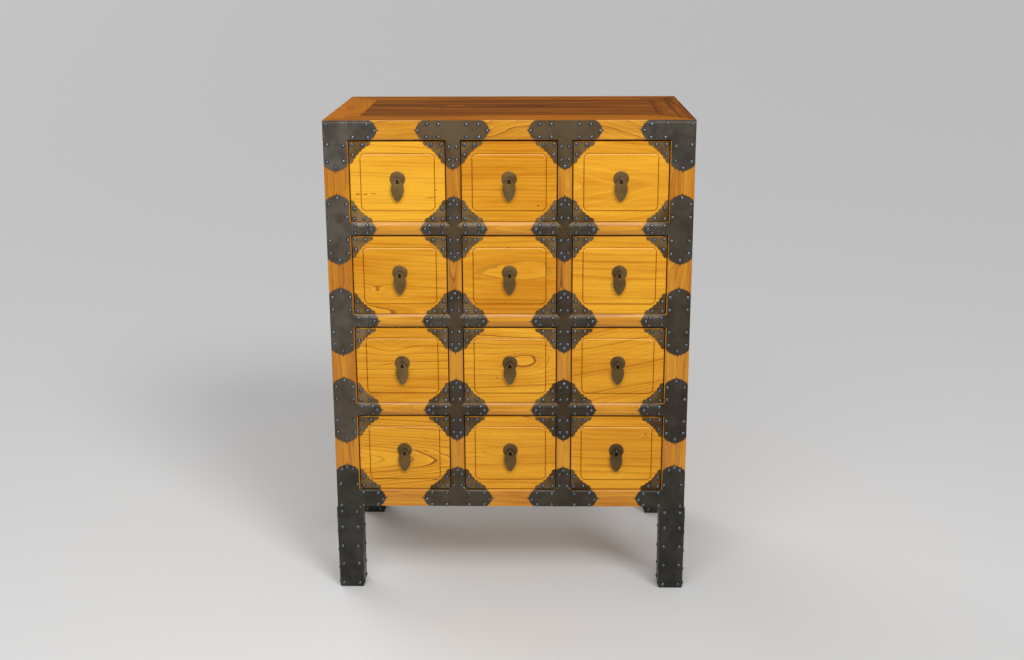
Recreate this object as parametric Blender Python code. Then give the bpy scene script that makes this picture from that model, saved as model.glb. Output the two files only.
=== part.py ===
"""A chest of twelve small drawers on four square legs, bound at every joint of its front with iron plates.

The chest stands on z = 0 and faces -Y. Its front is a grid of bowed rails and dividers between flat posts.
Each drawer slides out on its own shelf, and a leaf-shaped drop hangs in the wire eye at its middle.
"""

import math

import bmesh
import bpy
from mathutils import Matrix, Vector

# Driving sizes of the chest, in metres
WIDTH = 0.700
DEPTH = 0.430
COLUMNS = 3
ROWS = 4
OPENING_HEIGHT = 0.156
LEG_HEIGHT = 0.179

# Wood of the front and the top
POST = 0.047
DIVIDER = 0.028
MID_RAIL = 0.026
TOP_RAIL = 0.038
BOTTOM_RAIL = 0.036
RAIL_DEPTH = 0.030
DIVIDER_DEPTH = 0.027
BOW = 0.0045
BOW_ROUNDNESS_SHARE = 0.72
BOW_FACETS = 6
EDGE_ROUND = 0.0015
RAIL_ROUND = 0.004
ROUND_STEPS = 2
# Members of the top's frame, seen from above, and its panel
TOP_END_MEMBER = 0.063
TOP_LONG_MEMBER = 0.078
TOP_PANEL = 0.012
TOP_LIP = 0.008

# Wood behind the front
WALL = 0.020
WALL_PANEL = 0.010
WALL_RECESS = 0.004
WALL_RAIL = 0.040
WALL_MID_RAIL = 0.026
SHELF = 0.012
GUIDE_HEIGHT = 0.012
LEDGE_HEIGHT = 0.012
LEDGE_REACH = 0.015

# Drawers
DRAWER_SIDE_GAP = 0.0015
DRAWER_TOP_GAP = 0.0025
DRAWER_BOTTOM_GAP = 0.0005
DRAWER_SET_BACK = 0.004
DRAWER_FRONT = 0.018
DRAWER_BACK_ROOM = 0.014
BOX_SIDE = 0.010
BOX_BOTTOM = 0.007
BOX_INSET = 0.0012
BOX_HEADROOM = 0.014
GUIDE_PLAY = 0.001
FIELD_MARGIN = 0.020
FIELD_RISE = 0.001
FIELD_CORNER = 0.011
FIELD_CORNER_STEPS = 2

# Iron plates
SHEET = 0.0012
PLATE_MARGIN = 0.0015
BAR_MARGIN = 0.0003
CORNER_ARM = 0.104
CORNER_DROP = 0.0985
TOP_TEE_REACH = 0.071
TOP_TEE_STEM = 0.094
SIDE_TEE_REACH = 0.0685
SIDE_TEE_ARM = 0.0966
CROSS_REACH = 0.064
BOTTOM_TEE_STEM = 0.0493
BOTTOM_ARM = 0.1004
BOTTOM_RISE = 0.055
BEND_LENGTH = 0.008
WIDE_END = 0.0115
NARROW_END = 0.0075
NIPPLE = 0.002
WIDE_FULLNESS_SHARE = 0.25
NARROW_FULLNESS_SHARE = 0.85
LOBE_COUNT = 2
LOBE_SWELL = 0.0008
FOOT_BARE = 0.002
FLANGE = 0.014

# Scalloped plates on the drawers' corners
DRAWER_PLATE = 0.0009
DRAWER_PLATE_WIDTH = 0.040
DRAWER_PLATE_HEIGHT = 0.041
DRAWER_PLATE_INSET = 0.0008
DRAWER_PLATE_TIP = 0.004
DRAWER_PLATE_LOBE_COUNT = 5
DRAWER_PLATE_SWELL = 0.0012

# Pulls: a round rose, a wire eye in it and a leaf that hangs in the eye
ROSE_RADIUS = 0.01475
ROSE = 0.0015
ROSE_SIDES = 16
PULL_ABOVE_MIDDLE = 0.006
EYE_RADIUS = 0.0042
EYE_WIRE = 0.0012
EYE_STAND_OFF = 0.0045
EYE_STEPS = 12
WIRE_SIDES = 5
LEAF_LENGTH = 0.0445
LEAF_HALF_WIDTH = 0.0121
LEAF = 0.002
LEAF_HOLE_RADIUS = 0.0033
LEAF_HOLE_SIDES = 10
LEAF_PLAY = 0.0005
# Half the leaf's outline, from its top to its tip, as shares of its half width and of its length
LEAF_OUTLINE_SHARES = [
    (0.30, 0.010),
    (0.58, 0.130),
    (0.86, 0.245),
    (0.89, 0.290),
    (1.00, 0.480),
    (0.93, 0.630),
    (0.70, 0.800),
    (0.34, 0.955),
    (0.14, 1.000),
]

# Gap between pieces that rest on each other, and how far shapes that are joined or cut run past each other
SEAT = 0.0003
OVERRUN = 0.002
# Points nearer than this are one, and faces that turn less than this are one flat face
TOUCHING = SEAT / 50
FLAT_ANGLE = math.radians(0.2)

# Places worked out from the sizes above
HEIGHT = LEG_HEIGHT + BOTTOM_RAIL + ROWS * OPENING_HEIGHT + (ROWS - 1) * MID_RAIL + TOP_RAIL
OPENING_WIDTH = (WIDTH - 2 * POST - (COLUMNS - 1) * DIVIDER) / COLUMNS
COLUMN_PITCH = OPENING_WIDTH + DIVIDER
ROW_PITCH = OPENING_HEIGHT + MID_RAIL
BODY_TOP = HEIGHT - TOP_RAIL
HALF_WIDTH = WIDTH / 2
POST_INNER = HALF_WIDTH - POST
SHEET_PROUD = SEAT + SHEET
FIELD_BACK = DRAWER_SET_BACK - FIELD_RISE
EYE_PROUD = ROSE + EYE_STAND_OFF + EYE_RADIUS + EYE_WIRE - FIELD_BACK
FRONT = (EYE_PROUD - DEPTH - SHEET_PROUD) / 2
BACK = FRONT + DEPTH
FACE = FRONT + DRAWER_SET_BACK
SHELF_FRONT = FRONT + RAIL_DEPTH + SEAT
WALL_INNER_BACK = BACK - WALL
DRAWER_WIDTH = OPENING_WIDTH - 2 * DRAWER_SIDE_GAP
DRAWER_HEIGHT = OPENING_HEIGHT - DRAWER_TOP_GAP - DRAWER_BOTTOM_GAP
DRAWER_DEPTH = WALL_INNER_BACK - DRAWER_BACK_ROOM - FACE
BOX_WIDTH = DRAWER_WIDTH - 2 * BOX_INSET
EYE_FORWARD = EYE_STAND_OFF + ROSE + FIELD_RISE
COLUMN_NAMES = [f"column{column + 1}" for column in range(COLUMNS)]
if COLUMNS == 3:
    COLUMN_NAMES = ["left", "middle", "right"]
SIDES = [("left", -1), ("right", 1)]

# Colour, roughness and how metallic each finish is
FINISHES = {
    "frame_wood": ((0.56, 0.24, 0.045, 1.0), 0.38, 0.0),
    "top_wood": ((0.30, 0.09, 0.020, 1.0), 0.35, 0.0),
    "drawer_wood": ((0.68, 0.34, 0.060, 1.0), 0.38, 0.0),
    "inner_wood": ((0.45, 0.28, 0.13, 1.0), 0.65, 0.0),
    "iron": ((0.085, 0.082, 0.070, 1.0), 0.50, 0.85),
    "brown_iron": ((0.11, 0.078, 0.035, 1.0), 0.50, 0.85),
}


def column_centre(column):
    return (column - (COLUMNS - 1) / 2) * COLUMN_PITCH


def divider_centre(divider):
    """Middle of the divider between this column and the next."""
    return column_centre(divider) + COLUMN_PITCH / 2


def row_floor(row):
    """Height of the shelf top in a row; row 0 is the lowest."""
    return LEG_HEIGHT + BOTTOM_RAIL + row * ROW_PITCH


def rail_centre(rail):
    """Middle height of the mid rail above this row."""
    return row_floor(rail) + OPENING_HEIGHT + MID_RAIL / 2


def clear_scene():
    for thing in list(bpy.data.objects):
        bpy.data.objects.remove(thing, do_unlink=True)


def finish(name):
    material = bpy.data.materials.get(name) or bpy.data.materials.new(name)
    material.use_nodes = True
    colour, roughness, metallic = FINISHES[name]
    shader = material.node_tree.nodes["Principled BSDF"]
    shader.inputs["Base Color"].default_value = colour
    shader.inputs["Roughness"].default_value = roughness
    shader.inputs["Metallic"].default_value = metallic
    return material


def mesh_from(bm):
    mesh = bpy.data.meshes.new("shape")
    bm.to_mesh(mesh)
    bm.free()
    return mesh


def place(name, mesh, finish_name, location=(0, 0, 0), parent=None):
    """Puts a mesh into the scene as one named piece."""
    piece = bpy.data.objects.new(name, mesh)
    bpy.context.scene.collection.objects.link(piece)
    if not mesh.materials:
        mesh.materials.append(finish(finish_name))
    piece.location = location
    if parent is not None:
        piece.parent = parent
        piece.location = Vector(location) - parent.location
    return piece


def box(low, high):
    low, high = Vector(low), Vector(high)
    bm = bmesh.new()
    bmesh.ops.create_cube(bm, size=1)
    bmesh.ops.scale(bm, vec=high - low, verts=bm.verts)
    bmesh.ops.translate(bm, vec=(low + high) / 2, verts=bm.verts)
    return bm


def sweep_faces(bm, sweep):
    """Makes a solid of a bmesh's faces by sweeping them along a vector."""
    swept = bmesh.ops.extrude_face_region(bm, geom=list(bm.faces))
    moved = [item for item in swept["geom"] if isinstance(item, bmesh.types.BMVert)]
    bmesh.ops.translate(bm, vec=sweep, verts=moved)
    bmesh.ops.recalc_face_normals(bm, faces=bm.faces)
    return bm


def prism(points, sweep):
    bm = bmesh.new()
    bm.faces.new([bm.verts.new(point) for point in points])
    return sweep_faces(bm, sweep)


def round_edges(bm, chosen, width):
    """Rounds the edges whose both ends pass the test."""
    edges = [edge for edge in bm.edges if all(chosen(vert.co) for vert in edge.verts)]
    bmesh.ops.bevel(
        bm, geom=edges, offset=width, segments=ROUND_STEPS, profile=0.5, affect="EDGES", material=-1
    )
    return bm


def near(value, target):
    return abs(value - target) < SEAT / 2


def mirrored(mesh):
    """A copy of a mesh, turned into its mirror image across X."""
    bm = bmesh.new()
    bm.from_mesh(mesh)
    bmesh.ops.scale(bm, vec=(-1, 1, 1), verts=bm.verts)
    bmesh.ops.reverse_faces(bm, faces=bm.faces)
    return mesh_from(bm)


def fused(solids, cutters=()):
    """One mesh: all solids joined, then all cutters taken out."""
    steps = [("UNION", solid) for solid in solids[1:]] + [("DIFFERENCE", cutter) for cutter in cutters]
    base = bpy.data.objects.new("base", mesh_from(solids[0]))
    bpy.context.scene.collection.objects.link(base)
    helpers = []
    for operation, solid in steps:
        helper = bpy.data.objects.new("helper", mesh_from(solid))
        bpy.context.scene.collection.objects.link(helper)
        helper.hide_render = True
        helper.display_type = "WIRE"
        modifier = base.modifiers.new(operation, "BOOLEAN")
        modifier.operation = operation
        modifier.solver = "EXACT"
        modifier.object = helper
        helpers.append(helper)
    graph = bpy.context.evaluated_depsgraph_get()
    mesh = bpy.data.meshes.new_from_object(base.evaluated_get(graph))
    for thing in [base, *helpers]:
        bpy.data.objects.remove(thing, do_unlink=True)
    return mesh


def bow_depth(across, half_width):
    """How far the faceted face of a bowed bar lies behind its crown, at a distance from its centre line."""
    place_share = (min(abs(across) / half_width, 1) + 1) / 2 * BOW_FACETS
    lower = min(int(place_share), BOW_FACETS - 1)
    ends = []
    for facet in (lower, lower + 1):
        share = (2 * facet / BOW_FACETS - 1) * BOW_ROUNDNESS_SHARE
        rise = math.sqrt(1 - BOW_ROUNDNESS_SHARE**2)
        ends.append(BOW * (1 - math.sqrt(1 - share**2)) / (1 - rise))
    return ends[0] + (ends[1] - ends[0]) * (place_share - lower)


def facet_lines(half_width):
    """Distances from a bowed bar's centre line at which its facets meet."""
    return [half_width * (2 * line / BOW_FACETS - 1) for line in range(BOW_FACETS + 1)]


def bowed_bar(half_width, depth, start, end, turn, centre):
    """A bar with a bowed front. It runs along Z, or along X if turned."""
    section = [(across, FRONT + bow_depth(across, half_width)) for across in facet_lines(half_width)]
    section += [(half_width, FRONT + depth), (-half_width, FRONT + depth)]
    if turn:
        return prism([(start, y, centre + across) for across, y in section], (end - start, 0, 0))
    return prism([(centre + across, y, start) for across, y in section], (0, 0, end - start))


def lobed_line(start, bend, end, lobes, swell):
    """Points after start, up to end, of a curve drawn towards bend, with outward lobes along it."""
    start, bend, end = Vector(start), Vector(bend), Vector(end)
    knots = []
    for step in range(lobes + 1):
        share = step / lobes
        knots.append(start * (1 - share) ** 2 + bend * 2 * share * (1 - share) + end * share**2)
    points = []
    for low, high in zip(knots, knots[1:]):
        chord = high - low
        outward = Vector((chord.y, -chord.x)).normalized()
        points += [(low + high) / 2 + outward * swell, high]
    return points


def arm_end(centre, along, half_width, reach, rise, fullness):
    """Outline of a plate arm's end, turning left around it: lobes up to a small nipple, and down again."""
    centre, along = Vector(centre), Vector(along).normalized()
    across = Vector((-along.y, along.x))
    start = (half_width, reach - rise - NIPPLE)
    tip = (NIPPLE / 2, reach - NIPPLE)
    halfway = (Vector(start) + Vector(tip)) / 2
    bend = halfway.lerp(Vector((start[0], tip[1])), fullness)
    side = [Vector(start), *lobed_line(start, bend, tip, LOBE_COUNT, LOBE_SWELL)]
    half = [centre - across * point.x + along * point.y for point in side]
    other = [centre + across * point.x + along * point.y for point in reversed(side)]
    return [*half, centre + along * reach, *other]


def wide_end(centre, along, half_width, reach):
    return arm_end(centre, along, half_width, reach, WIDE_END, WIDE_FULLNESS_SHARE)


def narrow_end(centre, along, half_width, reach):
    return arm_end(centre, along, half_width, reach, NARROW_END, NARROW_FULLNESS_SHARE)


def sheet(outline, cuts=(), depth=None):
    """A plate on the front: an outline in X and Z, cut along its bends and pressed back there."""
    bm = bmesh.new()
    face = bm.faces.new([bm.verts.new((point[0], 0, point[1])) for point in outline])
    face.normal_update()
    bmesh.ops.triangulate(bm, faces=[face])
    for point, normal in cuts:
        everything = [*bm.verts, *bm.edges, *bm.faces]
        bmesh.ops.bisect_plane(bm, geom=everything, dist=TOUCHING, plane_co=point, plane_no=normal)
    bmesh.ops.remove_doubles(bm, verts=bm.verts, dist=TOUCHING)
    bmesh.ops.triangulate(bm, faces=bm.faces)
    for vert in bm.verts:
        sunk = depth(vert.co.x, vert.co.z) if depth else 0
        vert.co.y = FRONT - SEAT + sunk
    sweep_faces(bm, (0, -SHEET, 0))
    bmesh.ops.dissolve_limit(bm, angle_limit=FLAT_ANGLE, verts=bm.verts, edges=bm.edges)
    return bm


def across_cuts(lines, axis):
    """Planes that cut a plate at these distances along an axis."""
    direction = Vector((1, 0, 0)) if axis == "x" else Vector((0, 0, 1))
    return [(direction * line, direction) for line in lines]


def make_posts():
    for side, sign in SIDES:
        for face, near_y in (("front", FRONT), ("back", BACK - POST)):
            x = sign * (HALF_WIDTH - POST / 2)
            low = (x - POST / 2, near_y, 0)
            high = (x + POST / 2, near_y + POST, BODY_TOP - SEAT)
            bm = round_edges(box(low, high), lambda point: near(point.z, 0), EDGE_ROUND)
            place(f"{face}_{side}_post", mesh_from(bm), "frame_wood")


def make_top():
    """The top's mitred frame, whose front member is also the front's top rail, and its panel."""
    frame = box((-HALF_WIDTH, FRONT, BODY_TOP), (HALF_WIDTH, BACK, HEIGHT))
    round_edges(frame, lambda point: near(point.z, HEIGHT), EDGE_ROUND)
    round_edges(frame, lambda point: near(point.z, BODY_TOP) and near(point.y, FRONT), RAIL_ROUND)
    low = Vector((-HALF_WIDTH + TOP_END_MEMBER, FRONT + TOP_LONG_MEMBER, HEIGHT - TOP_PANEL))
    high = Vector((HALF_WIDTH - TOP_END_MEMBER, BACK - TOP_LONG_MEMBER, HEIGHT))
    lip = Vector((TOP_LIP, TOP_LIP, 0))
    rebate = box(low - Vector((0, 0, SEAT)), high + Vector((0, 0, OVERRUN)))
    well_low = Vector((low.x, low.y, BODY_TOP - OVERRUN)) + lip
    well = box(well_low, high - lip + Vector((0, 0, OVERRUN)))
    place("top_frame", fused([frame], [rebate, well]), "top_wood")
    seat = Vector((SEAT, SEAT, 0))
    place("top_panel", mesh_from(box(low + seat, high - seat)), "top_wood")


def make_front_grid():
    """Mid rails, bottom rail and dividers, joined as the real ones are by their tenons."""
    end = POST_INNER - SEAT
    upper_edge = LEG_HEIGHT + BOTTOM_RAIL
    bottom = box((-end, FRONT, LEG_HEIGHT), (end, FRONT + RAIL_DEPTH, upper_edge))
    round_edges(bottom, lambda point: near(point.z, upper_edge) and near(point.y, FRONT), RAIL_ROUND)
    bars = [bottom]
    for rail in range(ROWS - 1):
        bars.append(bowed_bar(MID_RAIL / 2, RAIL_DEPTH, -end, end, True, rail_centre(rail)))
    foot, head = upper_edge - BOTTOM_RAIL / 2, BODY_TOP - SEAT
    for divider in range(COLUMNS - 1):
        bars.append(bowed_bar(DIVIDER / 2, DIVIDER_DEPTH, foot, head, False, divider_centre(divider)))
    place("front_grid", fused(bars), "frame_wood")


def wall(width, muntin, ledge_levels):
    """A framed wall, seen from outside: it is centred on X, its outer face lies at y = 0."""
    half, half_rail = width / 2, WALL_MID_RAIL / 2
    low, high = LEG_HEIGHT, BODY_TOP - SEAT
    middle = rail_centre((ROWS - 2) // 2)
    panel_back = WALL_RECESS + WALL_PANEL
    solids = [
        box((-half, 0, low), (half, WALL, low + BOTTOM_RAIL)),
        box((-half, 0, high - WALL_RAIL), (half, WALL, high)),
        box((-half, 0, middle - half_rail), (half, WALL, middle + half_rail)),
        box((-half, WALL_RECESS, low + OVERRUN), (half, panel_back, high - OVERRUN)),
    ]
    if muntin:
        front_face, back_face = WALL_RECESS / 2, (panel_back + WALL) / 2
        solids.append(box((-half_rail, front_face, low + OVERRUN), (half_rail, back_face, high - OVERRUN)))
    for level in ledge_levels:
        top = level - SHELF - SEAT
        reach = WALL + LEDGE_REACH
        solids.append(box((-half, panel_back - OVERRUN, top - LEDGE_HEIGHT), (half, reach, top)))
    return fused(solids)


def make_walls():
    levels = [row_floor(row) for row in range(ROWS)]
    side_mesh = wall(DEPTH - 2 * POST - 2 * SEAT, False, levels)
    for side, sign in SIDES:
        mesh = side_mesh.copy()
        turned = Matrix.Rotation(sign * math.pi / 2, 4, "Z")
        mesh.transform(Matrix.Translation((sign * HALF_WIDTH, (FRONT + BACK) / 2, 0)) @ turned)
        place(f"{side}_side", mesh, "frame_wood")
    back_mesh = wall(WIDTH - 2 * POST - 2 * SEAT, True, [])
    back_mesh.transform(Matrix.Translation((0, BACK, 0)) @ Matrix.Rotation(math.pi, 4, "Z"))
    place("back_wall", back_mesh, "frame_wood")


def make_shelves():
    """Boards under the drawer rows, notched round the posts, with strips that guide the drawers."""
    wide = HALF_WIDTH - WALL - SEAT
    narrow = POST_INNER - SEAT
    back = WALL_INNER_BACK - SEAT
    notch_front = FRONT + POST + SEAT
    notch_back = BACK - POST - SEAT
    half = [(narrow, SHELF_FRONT), (narrow, notch_front), (wide, notch_front)]
    half += [(wide, notch_back), (narrow, notch_back), (narrow, back)]
    outline = half + [(-x, y) for x, y in reversed(half)]
    inner_half = (COLUMN_PITCH - BOX_WIDTH) / 2 - GUIDE_PLAY
    outer_edge = column_centre(COLUMNS - 1) + BOX_WIDTH / 2 + GUIDE_PLAY
    for row in range(ROWS):
        top = row_floor(row)
        solids = [prism([(x, y, top - SHELF) for x, y in outline], (0, 0, SHELF))]
        for divider in range(COLUMNS - 1):
            x = divider_centre(divider)
            low = (x - inner_half, SHELF_FRONT + OVERRUN, top - OVERRUN)
            high = (x + inner_half, back - OVERRUN, top + GUIDE_HEIGHT)
            solids.append(box(low, high))
        for _, sign in SIDES:
            ends = sorted((sign * outer_edge, sign * (wide - OVERRUN)))
            low = (ends[0], notch_front + OVERRUN, top - OVERRUN)
            high = (ends[1], notch_back - OVERRUN, top + GUIDE_HEIGHT)
            solids.append(box(low, high))
        place(f"shelf_row{ROWS - row}", fused(solids), "inner_wood")


def drawer_corner_plate(sign_x, sign_z):
    """Outline of a scalloped plate on a corner of the drawer front, around the front's centre."""
    corner_x = DRAWER_WIDTH / 2 - DRAWER_PLATE_INSET
    corner_z = DRAWER_HEIGHT / 2 - DRAWER_PLATE_INSET
    start = Vector((corner_x - DRAWER_PLATE_WIDTH, corner_z - DRAWER_PLATE_TIP))
    end = Vector((corner_x - DRAWER_PLATE_TIP, corner_z - DRAWER_PLATE_HEIGHT))
    curve = lobed_line(start, (start + end) / 2, end, DRAWER_PLATE_LOBE_COUNT, DRAWER_PLATE_SWELL)
    points = [(corner_x - DRAWER_PLATE_WIDTH, corner_z), start, *curve]
    points += [(corner_x, corner_z - DRAWER_PLATE_HEIGHT), (corner_x, corner_z)]
    return [(sign_x * x, sign_z * z) for x, z in points]


def rounded_rectangle(half_x, half_z, radius, steps):
    points = []
    for corner, (sign_x, sign_z) in enumerate(((1, 1), (-1, 1), (-1, -1), (1, -1))):
        for step in range(steps + 1):
            angle = math.pi / 2 * (corner + step / steps)
            x = sign_x * (half_x - radius) + radius * math.cos(angle)
            z = sign_z * (half_z - radius) + radius * math.sin(angle)
            points.append((x, z))
    return points


def circle(radius, sides):
    angles = [math.tau * side / sides for side in range(sides)]
    return [(radius * math.sin(angle), radius * math.cos(angle)) for angle in angles]


def wire_eye():
    """The bent wire eye, around its own centre, standing in the Y-Z plane."""
    bm = bmesh.new()
    ring = bmesh.ops.create_circle(bm, segments=WIRE_SIDES, radius=EYE_WIRE, cap_ends=False)
    bmesh.ops.rotate(bm, cent=(0, 0, 0), matrix=Matrix.Rotation(math.pi / 2, 3, "Z"), verts=ring["verts"])
    bmesh.ops.translate(bm, vec=(0, EYE_RADIUS, 0), verts=ring["verts"])
    bmesh.ops.rotate(bm, cent=(0, 0, 0), matrix=Matrix.Rotation(math.pi, 3, "Z"), verts=ring["verts"])
    bmesh.ops.spin(
        bm, geom=[*bm.verts, *bm.edges], cent=(0, 0, 0), axis=(1, 0, 0), dvec=(0, 0, 0),
        angle=math.tau, steps=EYE_STEPS, use_merge=True, use_duplicate=False,
    )
    bmesh.ops.remove_doubles(bm, verts=bm.verts, dist=TOUCHING)
    bmesh.ops.recalc_face_normals(bm, faces=bm.faces)
    return bm


def drawer_mesh():
    """A drawer around the middle of its front's foot: front, open box, corner plates, rose and wire eye."""
    half_width, half_box = DRAWER_WIDTH / 2, BOX_WIDTH / 2
    middle = DRAWER_HEIGHT / 2
    front = box((-half_width, 0, 0), (half_width, DRAWER_FRONT, DRAWER_HEIGHT))
    round_edges(front, lambda point: near(point.y, 0), EDGE_ROUND)
    body_low = (-half_box, DRAWER_FRONT - OVERRUN, SEAT - DRAWER_BOTTOM_GAP)
    body = box(body_low, (half_box, DRAWER_DEPTH, DRAWER_HEIGHT - BOX_HEADROOM))
    half_field = (half_width - FIELD_MARGIN, middle - FIELD_MARGIN)
    field = rounded_rectangle(*half_field, FIELD_CORNER, FIELD_CORNER_STEPS)
    solids = [front, body]
    solids.append(prism([(x, -FIELD_RISE, middle + z) for x, z in field], (0, FIELD_RISE + OVERRUN, 0)))
    for sign_x in (1, -1):
        for sign_z in (1, -1):
            outline = drawer_corner_plate(sign_x, sign_z)
            sweep = (0, DRAWER_PLATE + OVERRUN, 0)
            solids.append(prism([(x, -DRAWER_PLATE, middle + z) for x, z in outline], sweep))
    pull = Vector((0, 0, middle + PULL_ABOVE_MIDDLE))
    rose = circle(ROSE_RADIUS, ROSE_SIDES)
    rose_front = -FIELD_RISE - ROSE
    solids.append(prism([(x, rose_front, pull.z + z) for x, z in rose], (0, ROSE + OVERRUN, 0)))
    eye = wire_eye()
    bmesh.ops.translate(eye, vec=pull + Vector((0, -EYE_FORWARD, 0)), verts=eye.verts)
    solids.append(eye)
    inside_low = (-half_box + BOX_SIDE, DRAWER_FRONT, BOX_BOTTOM)
    inside_high = (half_box - BOX_SIDE, DRAWER_DEPTH - BOX_SIDE, DRAWER_HEIGHT + OVERRUN)
    return fused(solids, [box(inside_low, inside_high)])


def leaf_mesh():
    """The leaf-shaped drop, around the wire eye's centre, with the hole that the wire runs through."""
    top = EYE_RADIUS - EYE_WIRE - LEAF_PLAY
    half = [(LEAF_HALF_WIDTH * across, top - LEAF_LENGTH * down) for across, down in LEAF_OUTLINE_SHARES]
    outline = half + [(-x, z) for x, z in reversed(half)]
    leaf = prism([(x, -LEAF / 2, z) for x, z in outline], (0, LEAF, 0))
    hole_centre = -top - LEAF_HOLE_RADIUS
    hole = circle(LEAF_HOLE_RADIUS, LEAF_HOLE_SIDES)
    cutter_face = -LEAF / 2 - OVERRUN
    cutter = prism([(x, cutter_face, hole_centre + z) for x, z in hole], (0, LEAF + 2 * OVERRUN, 0))
    return fused([leaf], [cutter])


def make_drawers():
    drawer_shape, leaf_shape = drawer_mesh(), leaf_mesh()
    for row in range(ROWS):
        for column in range(COLUMNS):
            name = f"row{ROWS - row}_{COLUMN_NAMES[column]}"
            foot = Vector((column_centre(column), FACE, row_floor(row) + DRAWER_BOTTOM_GAP))
            drawer = place(f"drawer_{name}", drawer_shape, "drawer_wood", foot)
            eye = foot + Vector((0, -EYE_FORWARD, DRAWER_HEIGHT / 2 + PULL_ABOVE_MIDDLE))
            place(f"drop_{name}", leaf_shape, "brown_iron", eye, parent=drawer)


def make_top_corners():
    """Plates on the top corners, an arm along the top rail and a longer one down the post."""
    edge = -HALF_WIDTH + PLATE_MARGIN
    rail_low = BODY_TOP + PLATE_MARGIN
    rail_middle = (HEIGHT - BAR_MARGIN + rail_low) / 2
    rail_half = HEIGHT - BAR_MARGIN - rail_middle
    post_inner = -POST_INNER - PLATE_MARGIN
    post_middle = (edge + post_inner) / 2
    outline = [Vector((edge, HEIGHT - BAR_MARGIN))]
    outline += wide_end((post_middle, HEIGHT), (0, -1), (post_inner - edge) / 2, CORNER_DROP)
    outline += [Vector((post_inner, rail_low))]
    outline += wide_end((-HALF_WIDTH, rail_middle), (1, 0), rail_half, CORNER_ARM)
    left = mesh_from(sheet(outline))
    place("top_corner_plate_left", left, "iron")
    place("top_corner_plate_right", mirrored(left), "iron")


def make_top_tees():
    """T plates on the top rail, each with a stem that bends round its divider."""
    bar_low, bar_high = BODY_TOP + PLATE_MARGIN, HEIGHT - BAR_MARGIN
    bar_middle, bar_half = (bar_low + bar_high) / 2, (bar_high - bar_low) / 2
    stem_half = DIVIDER / 2 - BAR_MARGIN
    outline = wide_end((0, bar_middle), (1, 0), bar_half, TOP_TEE_REACH)
    outline += wide_end((0, bar_middle), (-1, 0), bar_half, TOP_TEE_REACH)
    outline += [Vector((-stem_half, bar_low))]
    outline += narrow_end((0, HEIGHT), (0, -1), stem_half, TOP_TEE_STEM)
    outline += [Vector((stem_half, bar_low))]

    def depth(x, z):
        bent = min(max((BODY_TOP - z) / BEND_LENGTH, 0), 1)
        return bent * bow_depth(x, DIVIDER / 2)

    bends = across_cuts(facet_lines(DIVIDER / 2)[1:-1], "x")
    bends += across_cuts([BODY_TOP, BODY_TOP - BEND_LENGTH], "z")
    shape = mesh_from(sheet(outline, bends, depth))
    for divider in range(COLUMNS - 1):
        place(f"top_tee_plate_{divider + 1}", shape, "iron", (divider_centre(divider), 0, 0))


def make_side_tees():
    """T plates on the posts, each with an arm that bends round its mid rail."""
    edge, post_inner = -HALF_WIDTH + PLATE_MARGIN, -POST_INNER - PLATE_MARGIN
    post_middle, post_half = (edge + post_inner) / 2, (post_inner - edge) / 2
    arm_half = MID_RAIL / 2 - BAR_MARGIN
    outline = wide_end((post_middle, 0), (0, 1), post_half, SIDE_TEE_REACH)
    outline += wide_end((post_middle, 0), (0, -1), post_half, SIDE_TEE_REACH)
    outline += [Vector((post_inner, -arm_half))]
    outline += narrow_end((-HALF_WIDTH, 0), (1, 0), arm_half, SIDE_TEE_ARM)
    outline += [Vector((post_inner, arm_half))]

    def depth(x, z):
        bent = min(max((x + POST_INNER) / BEND_LENGTH, 0), 1)
        return bent * bow_depth(z, MID_RAIL / 2)

    bends = across_cuts(facet_lines(MID_RAIL / 2)[1:-1], "z")
    bends += across_cuts([-POST_INNER, BEND_LENGTH - POST_INNER], "x")
    left = mesh_from(sheet(outline, bends, depth))
    right = mirrored(left)
    for rail in range(ROWS - 1):
        for side, shape in (("left", left), ("right", right)):
            name = f"side_tee_plate_{side}_{ROWS - 1 - rail}"
            place(name, shape, "iron", (0, 0, rail_centre(rail)))


def make_crosses():
    """Plates where bowed rails and bowed dividers cross, so each is creased along its diagonals."""
    half_x = DIVIDER / 2 - BAR_MARGIN
    half_z = half_x * MID_RAIL / DIVIDER
    outline = narrow_end((0, 0), (1, 0), half_z, CROSS_REACH) + [Vector((half_x, half_z))]
    outline += narrow_end((0, 0), (0, 1), half_x, CROSS_REACH) + [Vector((-half_x, half_z))]
    outline += narrow_end((0, 0), (-1, 0), half_z, CROSS_REACH) + [Vector((-half_x, -half_z))]
    outline += narrow_end((0, 0), (0, -1), half_x, CROSS_REACH) + [Vector((half_x, -half_z))]

    def depth(x, z):
        return min(bow_depth(x, DIVIDER / 2), bow_depth(z, MID_RAIL / 2))

    bends = [((0, 0, 0), Vector((MID_RAIL, 0, sign * DIVIDER)).normalized()) for sign in (1, -1)]
    bends += across_cuts(facet_lines(DIVIDER / 2)[1:-1], "x")
    bends += across_cuts(facet_lines(MID_RAIL / 2)[1:-1], "z")
    shape = mesh_from(sheet(outline, bends, depth))
    for rail in range(ROWS - 1):
        for divider in range(COLUMNS - 1):
            place_name = f"cross_plate_{ROWS - 1 - rail}_{divider + 1}"
            place(place_name, shape, "iron", (divider_centre(divider), 0, rail_centre(rail)))


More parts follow.
